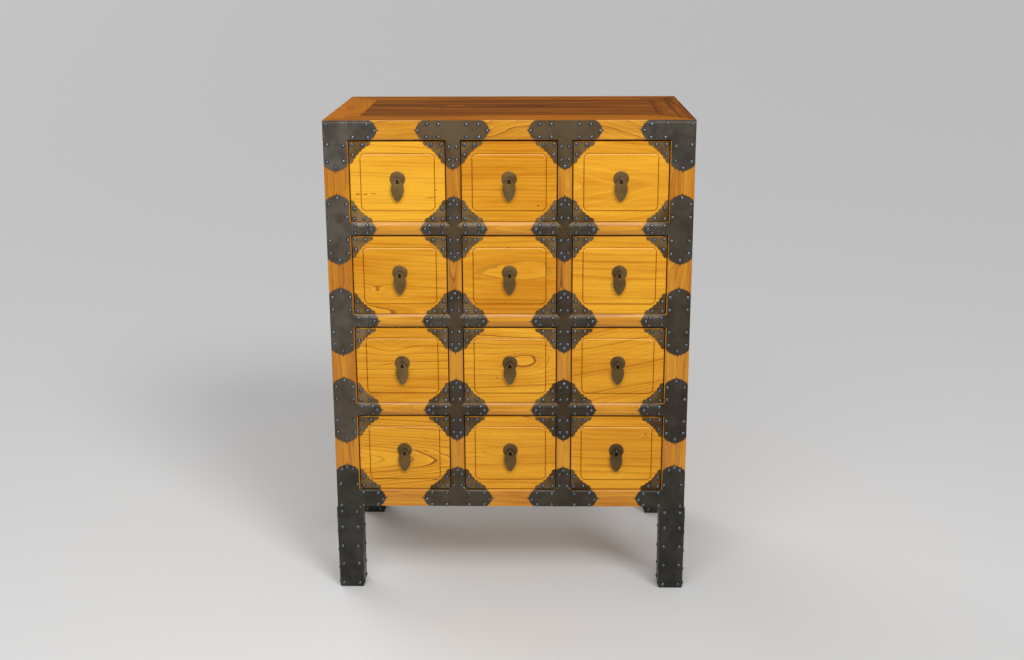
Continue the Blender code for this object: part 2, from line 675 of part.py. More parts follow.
def make_bottom_tees():
    """Upturned T plates on the bottom rail, each with a stem up its divider."""
    bar_low = LEG_HEIGHT + BAR_MARGIN
    bar_high = LEG_HEIGHT + BOTTOM_RAIL - PLATE_MARGIN
    bar_middle, bar_half = (bar_low + bar_high) / 2, (bar_high - bar_low) / 2
    stem_half = DIVIDER / 2 - BAR_MARGIN
    outline = wide_end((0, bar_middle), (-1, 0), bar_half, TOP_TEE_REACH)
    outline += wide_end((0, bar_middle), (1, 0), bar_half, TOP_TEE_REACH)
    outline += [Vector((stem_half, bar_high))]
    stem_foot = (0, LEG_HEIGHT + BOTTOM_RAIL)
    outline += narrow_end(stem_foot, (0, 1), stem_half, BOTTOM_TEE_STEM)
    outline += [Vector((-stem_half, bar_high))]

    def depth(x, z):
        bent = min(max((z - LEG_HEIGHT - BOTTOM_RAIL) / BEND_LENGTH, 0), 1)
        return bent * bow_depth(x, DIVIDER / 2)

    bends = across_cuts(facet_lines(DIVIDER / 2)[1:-1], "x")
    rail_top = LEG_HEIGHT + BOTTOM_RAIL
    bends += across_cuts([rail_top, rail_top + BEND_LENGTH], "z")
    shape = mesh_from(sheet(outline, bends, depth))
    for divider in range(COLUMNS - 1):
        place(f"bottom_tee_plate_{divider + 1}", shape, "iron", (divider_centre(divider), 0, 0))


def leg_sleeve(face_y):
    """A square tube of sheet round the left leg whose post starts at this depth."""
    low = Vector((-HALF_WIDTH - SHEET_PROUD, face_y - SHEET_PROUD, FOOT_BARE))
    high = Vector((-POST_INNER + SHEET_PROUD, face_y + POST + SHEET_PROUD, LEG_HEIGHT - SHEET_PROUD))
    inwards = Vector((SHEET, SHEET, -OVERRUN))
    return fused([box(low, high)], [box(low + inwards, high - inwards)])


def make_leg_irons():
    """Sleeves on all legs. A front one also has a corner plate and a flange under the bottom rail."""
    edge, post_inner = -HALF_WIDTH + PLATE_MARGIN, -POST_INNER - PLATE_MARGIN
    post_middle, post_half = (edge + post_inner) / 2, (post_inner - edge) / 2
    rail_low, rail_high = LEG_HEIGHT + BAR_MARGIN, LEG_HEIGHT + BOTTOM_RAIL - PLATE_MARGIN
    rail_middle, rail_half = (rail_low + rail_high) / 2, (rail_high - rail_low) / 2
    foot = LEG_HEIGHT - POST / 2
    outline = [Vector((edge, foot)), Vector((post_inner, foot)), Vector((post_inner, rail_low))]
    outline += wide_end((-HALF_WIDTH, rail_middle), (1, 0), rail_half, BOTTOM_ARM)
    outline += [Vector((post_inner, rail_high))]
    outline += wide_end((post_middle, LEG_HEIGHT + BOTTOM_RAIL), (0, 1), post_half, BOTTOM_RISE)
    flange_end = -HALF_WIDTH + BOTTOM_ARM - WIDE_END - NIPPLE
    flange_low = (-POST_INNER + SEAT, FRONT - SHEET_PROUD, LEG_HEIGHT - SHEET_PROUD)
    flange = box(flange_low, (flange_end, FRONT + FLANGE, LEG_HEIGHT - SEAT))
    lip = box(flange_low, (flange_end, FRONT - SEAT, LEG_HEIGHT + OVERRUN))
    sleeve = bmesh.new()
    sleeve.from_mesh(leg_sleeve(FRONT))
    left = fused([sleeve, sheet(outline), flange, lip])
    place("front_leg_iron_left", left, "iron")
    place("front_leg_iron_right", mirrored(left), "iron")
    back_left = leg_sleeve(BACK - POST)
    place("back_leg_sleeve_left", back_left, "iron")
    place("back_leg_sleeve_right", mirrored(back_left), "iron")


clear_scene()
make_posts()
make_top()
make_front_grid()
make_walls()
make_shelves()
make_drawers()
make_top_corners()
make_top_tees()
make_side_tees()
make_crosses()
make_bottom_tees()
make_leg_irons()
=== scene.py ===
# %% [markdown]
# # A medicine cabinet of twelve drawers
# The real piece is a chest of honey-coloured elm on four square legs. Iron plates with scalloped ends are
# nailed over every joint of its front, and each drawer has a round rose with a leaf-shaped pull.
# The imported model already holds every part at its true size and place, so this lesson dresses it piece by
# piece: wood first, then iron, then the drawers.

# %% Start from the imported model
import math
import random

import bmesh
import bpy
from mathutils import Matrix, Vector


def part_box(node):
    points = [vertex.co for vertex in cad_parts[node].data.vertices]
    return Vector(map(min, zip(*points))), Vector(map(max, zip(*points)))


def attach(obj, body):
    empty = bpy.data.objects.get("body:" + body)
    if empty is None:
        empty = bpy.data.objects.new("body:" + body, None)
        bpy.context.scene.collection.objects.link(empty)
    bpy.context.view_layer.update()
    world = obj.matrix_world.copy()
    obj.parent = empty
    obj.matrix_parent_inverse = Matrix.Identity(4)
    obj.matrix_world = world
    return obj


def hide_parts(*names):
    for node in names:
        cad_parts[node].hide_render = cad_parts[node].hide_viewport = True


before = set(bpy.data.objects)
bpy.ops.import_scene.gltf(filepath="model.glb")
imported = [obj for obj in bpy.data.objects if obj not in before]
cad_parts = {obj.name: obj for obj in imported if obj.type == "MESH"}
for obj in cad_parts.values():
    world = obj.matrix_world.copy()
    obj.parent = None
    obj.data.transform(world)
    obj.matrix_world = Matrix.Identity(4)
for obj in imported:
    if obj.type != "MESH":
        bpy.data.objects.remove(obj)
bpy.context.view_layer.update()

# %% [markdown]
# ## The camera
# The camera stands where the photographer's did: a little above the top, looking down at the front. Its
# place and lens come from matching the corners of the front with those in the photograph. A camera could
# be aimed with a constraint too, but a plain matrix keeps the small tilt of the real one.

# %% Camera
LENS, SENSOR_WIDTH = 47.421, 36
CAMERA_PLACE = (0.0542, -2.7386, 1.2569)
CAMERA_YAW = math.radians(-1.1283)
CAMERA_PITCH = math.radians(15.6595)
CAMERA_ROLL = math.radians(-0.2286)

camera = bpy.data.objects.new("camera", bpy.data.cameras.new("camera"))
camera.data.lens = LENS
camera.data.sensor_width = SENSOR_WIDTH
turn = Matrix.Rotation(-CAMERA_YAW, 4, "Z") @ Matrix.Rotation(math.pi / 2 - CAMERA_PITCH, 4, "X")
turn = turn @ Matrix.Rotation(CAMERA_ROLL, 4, "Z")
camera.matrix_world = Matrix.Translation(CAMERA_PLACE) @ turn
bpy.context.scene.collection.objects.link(camera)
bpy.context.scene.camera = camera
print("Camera at", CAMERA_PLACE)

# %% [markdown]
# ## The light
# Lacquered wood needs a broad, soft lamp: its reflection draws the pale line along the upper side of each
# rounded rail. A wide one hangs before the front and above it. A soft sun from high on the right throws the
# shadows of the pulls, and a weak one from behind lights the back. A world of even white does the rest.
# The suns could be lamps too, but a sun lights the whole chest evenly.

# %% Lamps
def add_lamp(name, kind, power, towards, place=(0, 0, 0)):
    """Hangs a lamp that shines along a direction, and returns its data."""
    lamp = bpy.data.lights.new(name, kind)
    lamp.energy = power
    holder = bpy.data.objects.new(name, lamp)
    turned = Vector(towards).to_track_quat("-Z", "Y").to_matrix().to_4x4()
    holder.matrix_world = Matrix.Translation(place) @ turned
    bpy.context.scene.collection.objects.link(holder)
    return lamp


bpy.context.scene.view_settings.view_transform = "Standard"
wide_lamp = add_lamp("overhead_lamp", "AREA", power=26, towards=(0.0, 1.50, -1.45), place=(0.0, -1.65, 2.05))
wide_lamp.shape = "RECTANGLE"
wide_lamp.size = 1.9
wide_lamp.size_y = 1.0
key_sun = add_lamp("key_sun", "SUN", power=1.0, towards=(-0.50, 0.75, -0.62))
key_sun.angle = math.radians(20)
back_sun = add_lamp("back_sun", "SUN", power=0.8, towards=(0.55, -0.70, -0.60))
back_sun.angle = math.radians(40)

# %% [markdown]
# ## Nodes from code
# Materials are trees of nodes. Two small helpers keep them short: one adds a node and fills its sockets,
# where a value that is itself a socket is linked, and one does the same for arithmetic.

# %% Node helpers
def add_node(tree, kind, inputs=None, **settings):
    node = tree.nodes.new(kind)
    for name, value in settings.items():
        setattr(node, name, value)
    for socket, value in (inputs or {}).items():
        if isinstance(value, bpy.types.NodeSocket):
            tree.links.new(value, node.inputs[socket])
        else:
            node.inputs[socket].default_value = value
    return node


def calculate(tree, operation, *values):
    node = add_node(tree, "ShaderNodeMath", dict(enumerate(values)), operation=operation)
    return node.outputs[0]


def scale_vector(tree, vector, factors):
    inputs = {0: vector, 1: factors}
    return add_node(tree, "ShaderNodeVectorMath", inputs, operation="MULTIPLY").outputs["Vector"]


def blend_colours(tree, share, first, second, kind="MIX"):
    node = add_node(tree, "ShaderNodeMix", {0: share, 6: first, 7: second}, data_type="RGBA", blend_type=kind)
    return node.outputs[2]


def noise_at(tree, place, stretch, detail, roughness):
    """Cloudy noise, finer along an axis where the stretch is larger."""
    vector = scale_vector(tree, place, stretch)
    inputs = {"Vector": vector, "Scale": 1.0, "Detail": detail, "Roughness": roughness}
    return add_node(tree, "ShaderNodeTexNoise", inputs).outputs[0]


def fade(tree, value, low, high):
    """0 below low, 1 above high, and smooth between."""
    inputs = {"Value": value, "From Min": low, "From Max": high, "To Min": 0.0, "To Max": 1.0}
    return add_node(tree, "ShaderNodeMapRange", inputs, interpolation_type="SMOOTHSTEP").outputs[0]


def read_attribute(tree, name, output):
    return add_node(tree, "ShaderNodeAttribute", attribute_name=name).outputs[output]


def new_material(name):
    material = bpy.data.materials.new(name)
    material.use_nodes = True
    tree = material.node_tree
    return material, tree, tree.nodes["Principled BSDF"]


def set_sockets(shader, values):
    """Sets what is the same all over a surface on the shader's own sockets."""
    for socket, value in values.items():
        shader.inputs[socket].default_value = value


print("Node helpers ready")

# %% [markdown]
# ## Background
# The floor is a plain pale studio floor, a disc so wide that it fills the picture. The world is an even
# white at a level where, with the lamps, colours render about as they are written.

# %% Floor and world
WORLD_LIGHT = 0.38
WHITE, PALE_GREY = (1.0, 1.0, 1.0, 1.0), (0.72, 0.72, 0.72, 1.0)
FLOOR_RADIUS = 60

world = bpy.data.worlds.new("studio")
bpy.context.scene.world = world
world.use_nodes = True
set_sockets(world.node_tree.nodes["Background"], {"Color": WHITE, "Strength": WORLD_LIGHT})

floor_paint, _, floor_shader = new_material("floor_paint")
set_sockets(floor_shader, {"Base Color": PALE_GREY, "Roughness": 0.7, "Specular IOR Level": 0.2})
floor_bm = bmesh.new()
bmesh.ops.create_circle(floor_bm, cap_ends=True, radius=FLOOR_RADIUS, segments=64)
floor_mesh = bpy.data.meshes.new("floor")
floor_bm.to_mesh(floor_mesh)
floor_bm.free()
floor_mesh.materials.append(floor_paint)
floor = bpy.data.objects.new("floor", floor_mesh)
bpy.context.scene.collection.objects.link(floor)
print("Floor radius", FLOOR_RADIUS, "m")

# %% [markdown]
# ## Lacquered elm
# Each board was sawn from a tree, so its figure is where the saw met the year rings. Every point of a board
# carries its place in the tree as an attribute: along the grain, and across and into the trunk from its
# heart. Rings are steps of the distance from the heart, bent by stretched noise. A second attribute lifts
# the rings locally, which makes the closed eyes and swirls, and others hold how deep the board's colour is
# and how vivid its dark lines are. One more holds the dark stain of grooves and edges, together with
# painted shade under the rails and in the gaps and a painted highlight along the upper rim of each field.
# An image texture would be quicker, but it repeats and can't turn a corner the way solid rings do.

# %% Wood finish
RING = 0.0068
TAPER, WANDER, RIPPLE = 0.020, 0.030, 0.0035
DARKEST_LINE_SHARE, PORE_SHARE = 0.85, 0.35
# The cream colour of the painted highlight along the upper rim of each drawer's field
PAINTED_HIGHLIGHT_COLOUR = (0.95, 0.68, 0.34, 1)
GRAIN_NAMES = ("lift", "stain_and_painted_light", "tone", "vivid")


def year_rings(tree, place, lift):
    """How far through its year the wood is, from 0 to 1, and a random number for each year."""
    wander = noise_at(tree, place, (2.6, 13, 13), 2.0, 0.45)
    ripple = noise_at(tree, place, (14, 70, 70), 3.0, 0.55)
    trunk = scale_vector(tree, place, (0, 1, 1))
    distance = add_node(tree, "ShaderNodeVectorMath", {0: trunk}, operation="LENGTH").outputs["Value"]
    along = add_node(tree, "ShaderNodeSeparateXYZ", {0: place}).outputs["X"]
    age = calculate(tree, "MULTIPLY_ADD", along, -TAPER, distance)
    age = calculate(tree, "MULTIPLY_ADD", wander, WANDER, age)
    age = calculate(tree, "MULTIPLY_ADD", ripple, RIPPLE, age)
    age = calculate(tree, "ADD", age, lift)
    rings = calculate(tree, "DIVIDE", age, RING)
    ring_number = calculate(tree, "FLOOR", rings)
    within = calculate(tree, "FRACT", rings)
    luck = add_node(tree, "ShaderNodeTexWhiteNoise", {"W": ring_number}, noise_dimensions="1D").outputs[0]
    return within, luck


def band_and_line(tree, within, luck, vivid):
    """Each year has a soft deeper band, and a few years start with a thin dark line."""
    band = calculate(tree, "MULTIPLY", fade(tree, within, 0.0, 0.35), fade(tree, within, 1.0, 0.50))
    band = calculate(tree, "MULTIPLY", band, calculate(tree, "MULTIPLY_ADD", luck, 0.8, 0.2))
    thin = calculate(tree, "MULTIPLY", fade(tree, within, 0.0, 0.05), fade(tree, within, 0.24, 0.07))
    chance = calculate(tree, "MULTIPLY_ADD", calculate(tree, "POWER", luck, 3.0), 0.80, 0.16)
    dark = calculate(tree, "MULTIPLY", thin, calculate(tree, "MULTIPLY", chance, vivid))
    return band, calculate(tree, "MINIMUM", dark, DARKEST_LINE_SHARE)


def wood_finish(name, pale, deep, line, stain_and_shade_colour, gloss, shine):
    material, tree, shader = new_material(name)
    place = read_attribute(tree, "board", "Vector")
    lift, stain_and_painted_light, tone, vivid = [read_attribute(tree, attribute, "Fac") for attribute in GRAIN_NAMES]
    within, luck = year_rings(tree, place, lift)
    band, dark = band_and_line(tree, within, luck, vivid)

    # Fine pores lie in rows along the bands, and clouds and streaks deepen the colour in places
    pores = fade(tree, noise_at(tree, place, (85, 1500, 1500), 2.0, 0.6), 0.56, 0.72)
    pore_rows = calculate(tree, "MULTIPLY", pores, calculate(tree, "MULTIPLY_ADD", band, 0.75, 0.25))
    clouds = fade(tree, noise_at(tree, place, (3.5, 24, 24), 3.0, 0.55), 0.30, 0.70)
    streaks = fade(tree, noise_at(tree, place, (6, 190, 190), 3.0, 0.6), 0.40, 0.75)
    depth = calculate(tree, "MULTIPLY_ADD", clouds, 0.40, calculate(tree, "MULTIPLY", streaks, 0.35))
    depth = calculate(tree, "MULTIPLY_ADD", band, 0.45, depth)
    depth = calculate(tree, "ADD", depth, tone)
    ground = blend_colours(tree, depth, pale, deep)
    pored = blend_colours(tree, calculate(tree, "MULTIPLY", pore_rows, PORE_SHARE), ground, line)
    lined = blend_colours(tree, dark, pored, line)
    # Above zero the attribute mixes in the dark colour: real stain in grooves and cracks, and painted shade
    # under the rails and in the gaps
    stained_and_shaded = blend_colours(tree, stain_and_painted_light, lined, stain_and_shade_colour)
    # Below zero the attribute paints a highlight: there the wood turns a pale cream
    highlighted = blend_colours(tree, calculate(tree, "MULTIPLY", stain_and_painted_light, -1.0), stained_and_shaded, PAINTED_HIGHLIGHT_COLOUR)
    tree.links.new(highlighted, shader.inputs["Base Color"])

    # The lacquer is a little uneven, and dull and sunk where the pores are
    patches = noise_at(tree, place, (30, 30, 30), 3.0, 0.6)
    roughness = calculate(tree, "MULTIPLY_ADD", patches, 0.12, gloss - 0.06)
    roughness = calculate(tree, "MULTIPLY_ADD", pore_rows, 0.15, roughness)
    tree.links.new(roughness, shader.inputs["Roughness"])
    hollow = calculate(tree, "MULTIPLY_ADD", band, 0.3, pore_rows)
    height = calculate(tree, "MULTIPLY", hollow, -1.0)
    bump = add_node(tree, "ShaderNodeBump", {"Strength": 0.2, "Distance": 0.0002, "Height": height})
    tree.links.new(bump.outputs["Normal"], shader.inputs["Normal"])
    set_sockets(shader, {"Specular IOR Level": shine})
    return material


print("A year ring is", RING, "m wide")

# %% The four woods
drawer_wood = wood_finish(
    "drawer_wood", pale=(0.83, 0.41, 0.024, 1), deep=(0.55, 0.195, 0.003, 1), line=(0.20, 0.048, 0.002, 1),
    stain_and_shade_colour=(0.15, 0.026, 0.001, 1), gloss=0.27, shine=0.22,
)
frame_wood = wood_finish(
    "frame_wood", pale=(0.74, 0.34, 0.014, 1), deep=(0.42, 0.142, 0.002, 1), line=(0.16, 0.034, 0.001, 1),
    stain_and_shade_colour=(0.07, 0.012, 0.001, 1), gloss=0.25, shine=0.45,
)
top_wood = wood_finish(
    "top_wood", pale=(0.48, 0.155, 0.005, 1), deep=(0.15, 0.038, 0.002, 1), line=(0.06, 0.012, 0.002, 1),
    stain_and_shade_colour=(0.05, 0.010, 0.002, 1), gloss=0.60, shine=0.02,
)
box_wood = wood_finish(
    "box_wood", pale=(0.62, 0.42, 0.22, 1), deep=(0.46, 0.28, 0.12, 1), line=(0.25, 0.13, 0.05, 1),
    stain_and_shade_colour=(0.12, 0.05, 0.02, 1), gloss=0.62, shine=0.30,
)
print("Wood finishes:", [drawer_wood.name, frame_wood.name, top_wood.name, box_wood.name])

# %% [markdown]
# ## Boards
# A board is a box with softened edges. It is made with operators: a cube, scaled and moved to its corners,
# whose edges are bevelled. Its place in the tree is written last, when its shape is settled, so that the
# grain runs on over every bevel.

# %% Board helpers
EDGE_ROUND, THIN_EDGE = 0.0015, 0.0008
# How dark the painted shade under the rails and on the dividers' flanks is, and how far up from an edge it
# fades
UNDER_SHADE, UNDER_SHADE_FADE = 0.95, 0.0030
draw = random.Random(12)


def grain_layers(bm):
    """The attributes that the wood finish reads. They are added before any vertex is held on to."""
    if not bm.verts.layers.float_vector.get("board"):
        bm.verts.layers.float_vector.new("board")
        for name in GRAIN_NAMES:
            bm.verts.layers.float.new(name)
    floats = {name: bm.verts.layers.float.get(name) for name in GRAIN_NAMES}
    return bm.verts.layers.float_vector.get("board"), floats


def lay_grain(bm, along, out, heart=(0.02, 0.06), coarse=1.0, tone=0.0, vivid=1.0, lift=None, stain_and_painted_light=None,
              verts=None):
    """Writes each point's place in the tree, whose heart lies beside the board's middle and behind it."""
    along, out = Vector(along), Vector(out)
    across = out.cross(along)
    places, layers = grain_layers(bm)
    verts = verts or list(bm.verts)
    middle = sum((vert.co for vert in verts), Vector()) / len(verts)
    start = draw.uniform(-9, 9)
    for vert in verts:
        local = vert.co - middle
        sideways = local.dot(across) - heart[0]
        inwards = heart[1] - local.dot(out)
        vert[places] = Vector((local.dot(along), sideways, inwards)) * coarse + Vector((start, 0, 0))
        vert[layers["tone"]] = tone
        vert[layers["vivid"]] = vivid
        vert[layers["lift"]] = lift(vert.co) if lift else 0.0
        vert[layers["stain_and_painted_light"]] = stain_and_painted_light(vert.co) if stain_and_painted_light else 0.0


def painted_under_shade(level):
    """Painted shade for a rail whose lower edge lies at a level: darkest along that edge, fading upwards."""
    return lambda point: UNDER_SHADE * min(max(1 - (point.z - level) / UNDER_SHADE_FADE, 0), 1)


def soften(bm, edges, width, steps=2):
    bmesh.ops.bevel(
        bm, geom=list(edges), offset=width, segments=steps, profile=0.5, affect="EDGES", material=-1,
        clamp_overlap=True,
    )


def move(bm, vector):
    bmesh.ops.translate(bm, vec=vector, verts=bm.verts)


def turn_by(bm, degrees, axis):
    """Turns everything about one of the axes through the origin."""
    turned = Matrix.Rotation(math.radians(degrees), 3, axis)
    bmesh.ops.rotate(bm, cent=(0, 0, 0), matrix=turned, verts=bm.verts)


def add_block(bm, low, high):
    """Adds a cube, scaled and moved to two corners, and returns its points."""
    low, high = Vector(low), Vector(high)
    cube = bmesh.ops.create_cube(bm, size=1)
    bmesh.ops.scale(bm, vec=high - low, verts=cube["verts"])
    bmesh.ops.translate(bm, vec=(low + high) / 2, verts=cube["verts"])
    return cube["verts"]


def add_board(bm, low, high, along, out, edge=EDGE_ROUND, **grain):
    """Adds one softened board between two corners."""
    grain_layers(bm)
    earlier = set(bm.verts)
    fresh = add_block(bm, low, high)
    soften(bm, {joined for vert in fresh for joined in vert.link_edges}, edge)
    fresh = [vert for vert in bm.verts if vert not in earlier]
    lay_grain(bm, along, out, verts=fresh, **grain)


def finish_piece(bm, name, material, body="root", stands_for=(), smooth_degrees=15):
    """Turns a bmesh into a named piece that rides on a body."""
    mesh = bpy.data.meshes.new(name)
    bm.to_mesh(mesh)
    bm.free()
    mesh.shade_smooth()
    mesh.set_sharp_from_angle(angle=math.radians(smooth_degrees))
    mesh.materials.append(material)
    piece = bpy.data.objects.new(name, mesh)
    bpy.context.scene.collection.objects.link(piece)
    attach(piece, body)
    if stands_for:
        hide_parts(*stands_for)
    return piece


UP, FORWARDS, BACKWARDS = (0, 0, 1), (0, -1, 0), (0, 1, 0)
LEFTWARDS, RIGHTWARDS = (-1, 0, 0), (1, 0, 0)
SIDES = [("left", -1), ("right", 1)]
HALF_WIDTH = 0.350
POST, POST_EDGE = 0.047, 0.0018
POST_INNER = HALF_WIDTH - POST
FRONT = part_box("front_left_post")[0].y
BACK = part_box("back_left_post")[1].y
print("Front at", round(FRONT, 5), "back at", round(BACK, 5))

# %% [markdown]
# ## Posts
# Four square posts run down into the legs. Their grain is upright, and the heart of each tree lies behind
# the post, so the front shows long straight lines.

# %% Posts
for side, sign in SIDES:
    for face, out in (("front", FORWARDS), ("back", BACKWARDS)):
        name = f"{face}_{side}_post"
        low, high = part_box(name)
        bm = bmesh.new()
        heart = (sign * 0.030, 0.085)
        tone = 0.45 if side == "left" else 0.25
        add_board(bm, low, high, UP, out, POST_EDGE, heart=heart, coarse=1.5, tone=tone)
        finish_piece(bm, name + "_wood", frame_wood, stands_for=[name])
print("Posts:", 2 * len(SIDES))

# %% [markdown]
# ## The top
# The top is a frame of four mitred members round one panel. The front member is also the front's top rail,
# so its front face is seen in the photograph. A member is its section, drawn once and pushed out along its
# length, softened, and cut off at the mitres. Cutting a straight bar with a plane gives exactly the joint
# that the joiner's saw gives.

# %% Top frame
BODY_TOP, HEIGHT = 0.917, 0.955
LONG_MEMBER, END_MEMBER = 0.078, 0.063
PANEL_THICK, PANEL_LIP = 0.012, 0.008
RAIL_ROUND, TOP_EDGE = 0.004, 0.0012
# The room between two pieces that are only laid together
SEAT = 0.0003
MIDDLE_Y = (FRONT + BACK) / 2
HALF_DEPTH = (BACK - FRONT) / 2
MEMBER_PITCH = 0.010
CREST_RISE, CREST_PLACE, CREST_SPREAD = 0.048, 0.11, 0.20
KNOT_RISE, KNOT_LENGTH, KNOT_WIDTH = 0.034, 0.10, 0.030


def push_out(bm, vector):
    """Makes a solid of the bmesh's faces by pushing them along a vector, and returns the moved points."""
    pushed = bmesh.ops.extrude_face_region(bm, geom=list(bm.faces))
    moved = [item for item in pushed["geom"] if isinstance(item, bmesh.types.BMVert)]
    bmesh.ops.translate(bm, vec=vector, verts=moved)
    bmesh.ops.recalc_face_normals(bm, faces=bm.faces)
    return moved


def cut_off(bm, place, normal):
    """Cuts away what lies beyond a plane and closes the cut."""
    everything = [*bm.verts, *bm.edges, *bm.faces]
    cut = bmesh.ops.bisect_plane(
        bm, geom=everything, dist=1e-6, plane_co=place, plane_no=normal, clear_outer=True
    )
    rim = [item for item in cut["geom_cut"] if isinstance(item, bmesh.types.BMEdge)]
    bmesh.ops.edgeloop_fill(bm, edges=rim)


def slice_up(bm, direction, low, high, pitch):
    """Cuts the faces across a direction in even steps, so that there are points to carry a figure."""
    count = int((high - low) / pitch)
    for step in range(1, count):
        line = low + (high - low) * step / count
        bmesh.ops.bisect_plane(bm, geom=[*bm.verts, *bm.edges, *bm.faces], dist=1e-5,
                               plane_co=direction * line, plane_no=direction)


def crest(point):
    """The front member's rings rise to a crest right of its middle."""
    return CREST_RISE * math.exp(-((point.x - CREST_PLACE) / CREST_SPREAD) ** 2)


def knot(point):
    """The left member was cut beside a knot, which its rings go round."""
    sideways = (point.y + HALF_WIDTH - END_MEMBER / 2) / KNOT_WIDTH
    return KNOT_RISE * math.exp(-(point.x / KNOT_LENGTH) ** 2 - sideways ** 2)


def near(first, second):
    return abs(first - second) < 0.0001


def top_member(half_length, half_reach, width, end_width, rounded):
    """A member that lies along X on the far -Y side of the top, around the top's middle."""
    bm = bmesh.new()
    edge = -half_reach
    section = [
        (edge, BODY_TOP), (edge + width + PANEL_LIP, BODY_TOP),
        (edge + width + PANEL_LIP, HEIGHT - PANEL_THICK - SEAT), (edge + width, HEIGHT - PANEL_THICK - SEAT),
        (edge + width, HEIGHT), (edge, HEIGHT),
    ]
    bm.faces.new([bm.verts.new((-half_length, y, z)) for y, z in section])
    push_out(bm, (2 * half_length, 0, 0))
    lengthwise = [joined for joined in bm.edges if near(joined.verts[0].co.y, joined.verts[1].co.y)
                  and near(joined.verts[0].co.z, joined.verts[1].co.z)]
    outer_top = [joined for joined in lengthwise if near(joined.verts[0].co.z, HEIGHT)]
    lower = [joined for joined in lengthwise if near(joined.verts[0].co.z, BODY_TOP)
             and near(joined.verts[0].co.y, edge)]
    soften(bm, outer_top, TOP_EDGE)
    soften(bm, lower, rounded, 4)
    for sign in (-1, 1):
        corner = Vector((sign * half_length, edge, 0))
        mitre = Vector((-sign * end_width, width, 0))
        outwards = Vector((sign * mitre.y, -sign * mitre.x, 0))
        cut_off(bm, corner, outwards.normalized())
    bmesh.ops.recalc_face_normals(bm, faces=bm.faces)
    return bm


long_member = (HALF_WIDTH, HALF_DEPTH, LONG_MEMBER, END_MEMBER)
end_member = (HALF_DEPTH, HALF_WIDTH, END_MEMBER, LONG_MEMBER)
# Each member's turn from the front, sizes, lower edge, heart, tone, vividness and figure
members = [
    ("front", 0, long_member, RAIL_ROUND, (0.045, 0.050), -0.05, 1.7, crest),
    ("right", 90, end_member, EDGE_ROUND, (0.020, 0.070), 0.44, 1.0, None),
    ("back", 180, long_member, EDGE_ROUND, (0.020, 0.070), 0.11, 1.0, None),
    ("left", 270, end_member, EDGE_ROUND, (0.020, 0.070), -0.45, 2.8, knot),
]
for side, degrees, sizes, rounded, heart, tone, vivid, lift in members:
    bm = top_member(*sizes, rounded)
    half_length, half_reach, width, _ = sizes
    # The front member gets painted shade along its lower edge
    stain_and_painted_light = painted_under_shade(BODY_TOP) if side == "front" else None
    if lift:
        slice_up(bm, Vector(RIGHTWARDS), -half_length, half_length, MEMBER_PITCH)
        slice_up(bm, Vector(BACKWARDS), -half_reach, width - half_reach, MEMBER_PITCH)
    lay_grain(bm, RIGHTWARDS, UP, heart, coarse=1.2, tone=tone, vivid=vivid, lift=lift, stain_and_painted_light=stain_and_painted_light)
    turn_by(bm, degrees, "Z")
    move(bm, (0, MIDDLE_Y, 0))
    if side == "front":
        # The top is darker than the front, so the faces that look up take the top's finish
        bm.normal_update()
        for face in bm.faces:
            face.material_index = 1 if face.normal.z > 0.8 else 0
        piece = finish_piece(bm, "top_front_member", frame_wood, stands_for=["top_frame"])
        piece.data.materials.append(top_wood)
    else:
        finish_piece(bm, f"top_{side}_member", top_wood)

bm = bmesh.new()
low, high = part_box("top_panel")
add_board(bm, low, high, RIGHTWARDS, UP, TOP_EDGE, heart=(0.03, 0.09), coarse=0.8, tone=0.37)
finish_piece(bm, "top_panel_board", top_wood, stands_for=["top_panel"])
print("Members round the top panel:", [member[0] for member in members])

# %% [markdown]
# ## Rails and dividers of the front
# The bars between the drawers have bowed fronts. The section is drawn with a pen of operators: a vertex is
# extruded for a straight run, and spun about a centre for an arc. The same pen draws the scalloped iron
# plates later on.

# %% Pen
def line_to(bm, tip, target):
    grown = bmesh.ops.extrude_vert_indiv(bm, verts=[tip])
    tip = grown["verts"][0]
    tip.co = (target[0], 0, target[1])
    return tip


def arc_to(bm, tip, target, swell, steps):
    """An arc in X and Z that bulges to the right of the way it goes, or to the left if swell is below 0."""
    start, end = Vector((tip.co.x, tip.co.z)), Vector(target)
    chord = end - start
    right = Vector((chord.y, -chord.x)).normalized()
    radius = (chord.length_squared / 4 + swell * swell) / (2 * abs(swell))
    side = 1 if swell > 0 else -1
    centre = (start + end) / 2 - right * side * (radius - abs(swell))
    angle = 2 * math.asin(min(chord.length / (2 * radius), 1))
    swung = bmesh.ops.spin(
        bm, geom=[tip], cent=(centre.x, 0, centre.y), axis=(0, -side, 0), dvec=(0, 0, 0),
        angle=angle, steps=steps, use_merge=False, use_normal_flip=False, use_duplicate=False,
    )
    return next(item for item in swung["geom_last"] if isinstance(item, bmesh.types.BMVert))


def draw_outline(stations, steps=5):
    """A face in X and Z from stations, each a point and how far the way to it bulges."""
    bm = bmesh.new()
    first = bm.verts.new((stations[0][0][0], 0, stations[0][0][1]))
    tip = first
    for target, swell in stations[1:]:
        if swell:
            tip = arc_to(bm, tip, target, swell, steps)
        else:
            tip = line_to(bm, tip, target)
    line_to(bm, tip, (first.co.x, first.co.z))
    bmesh.ops.remove_doubles(bm, verts=bm.verts, dist=1e-6)
    bmesh.ops.contextual_create(bm, geom=list(bm.edges))
    bmesh.ops.recalc_face_normals(bm, faces=bm.faces)
    return bm


print("Pen ready")

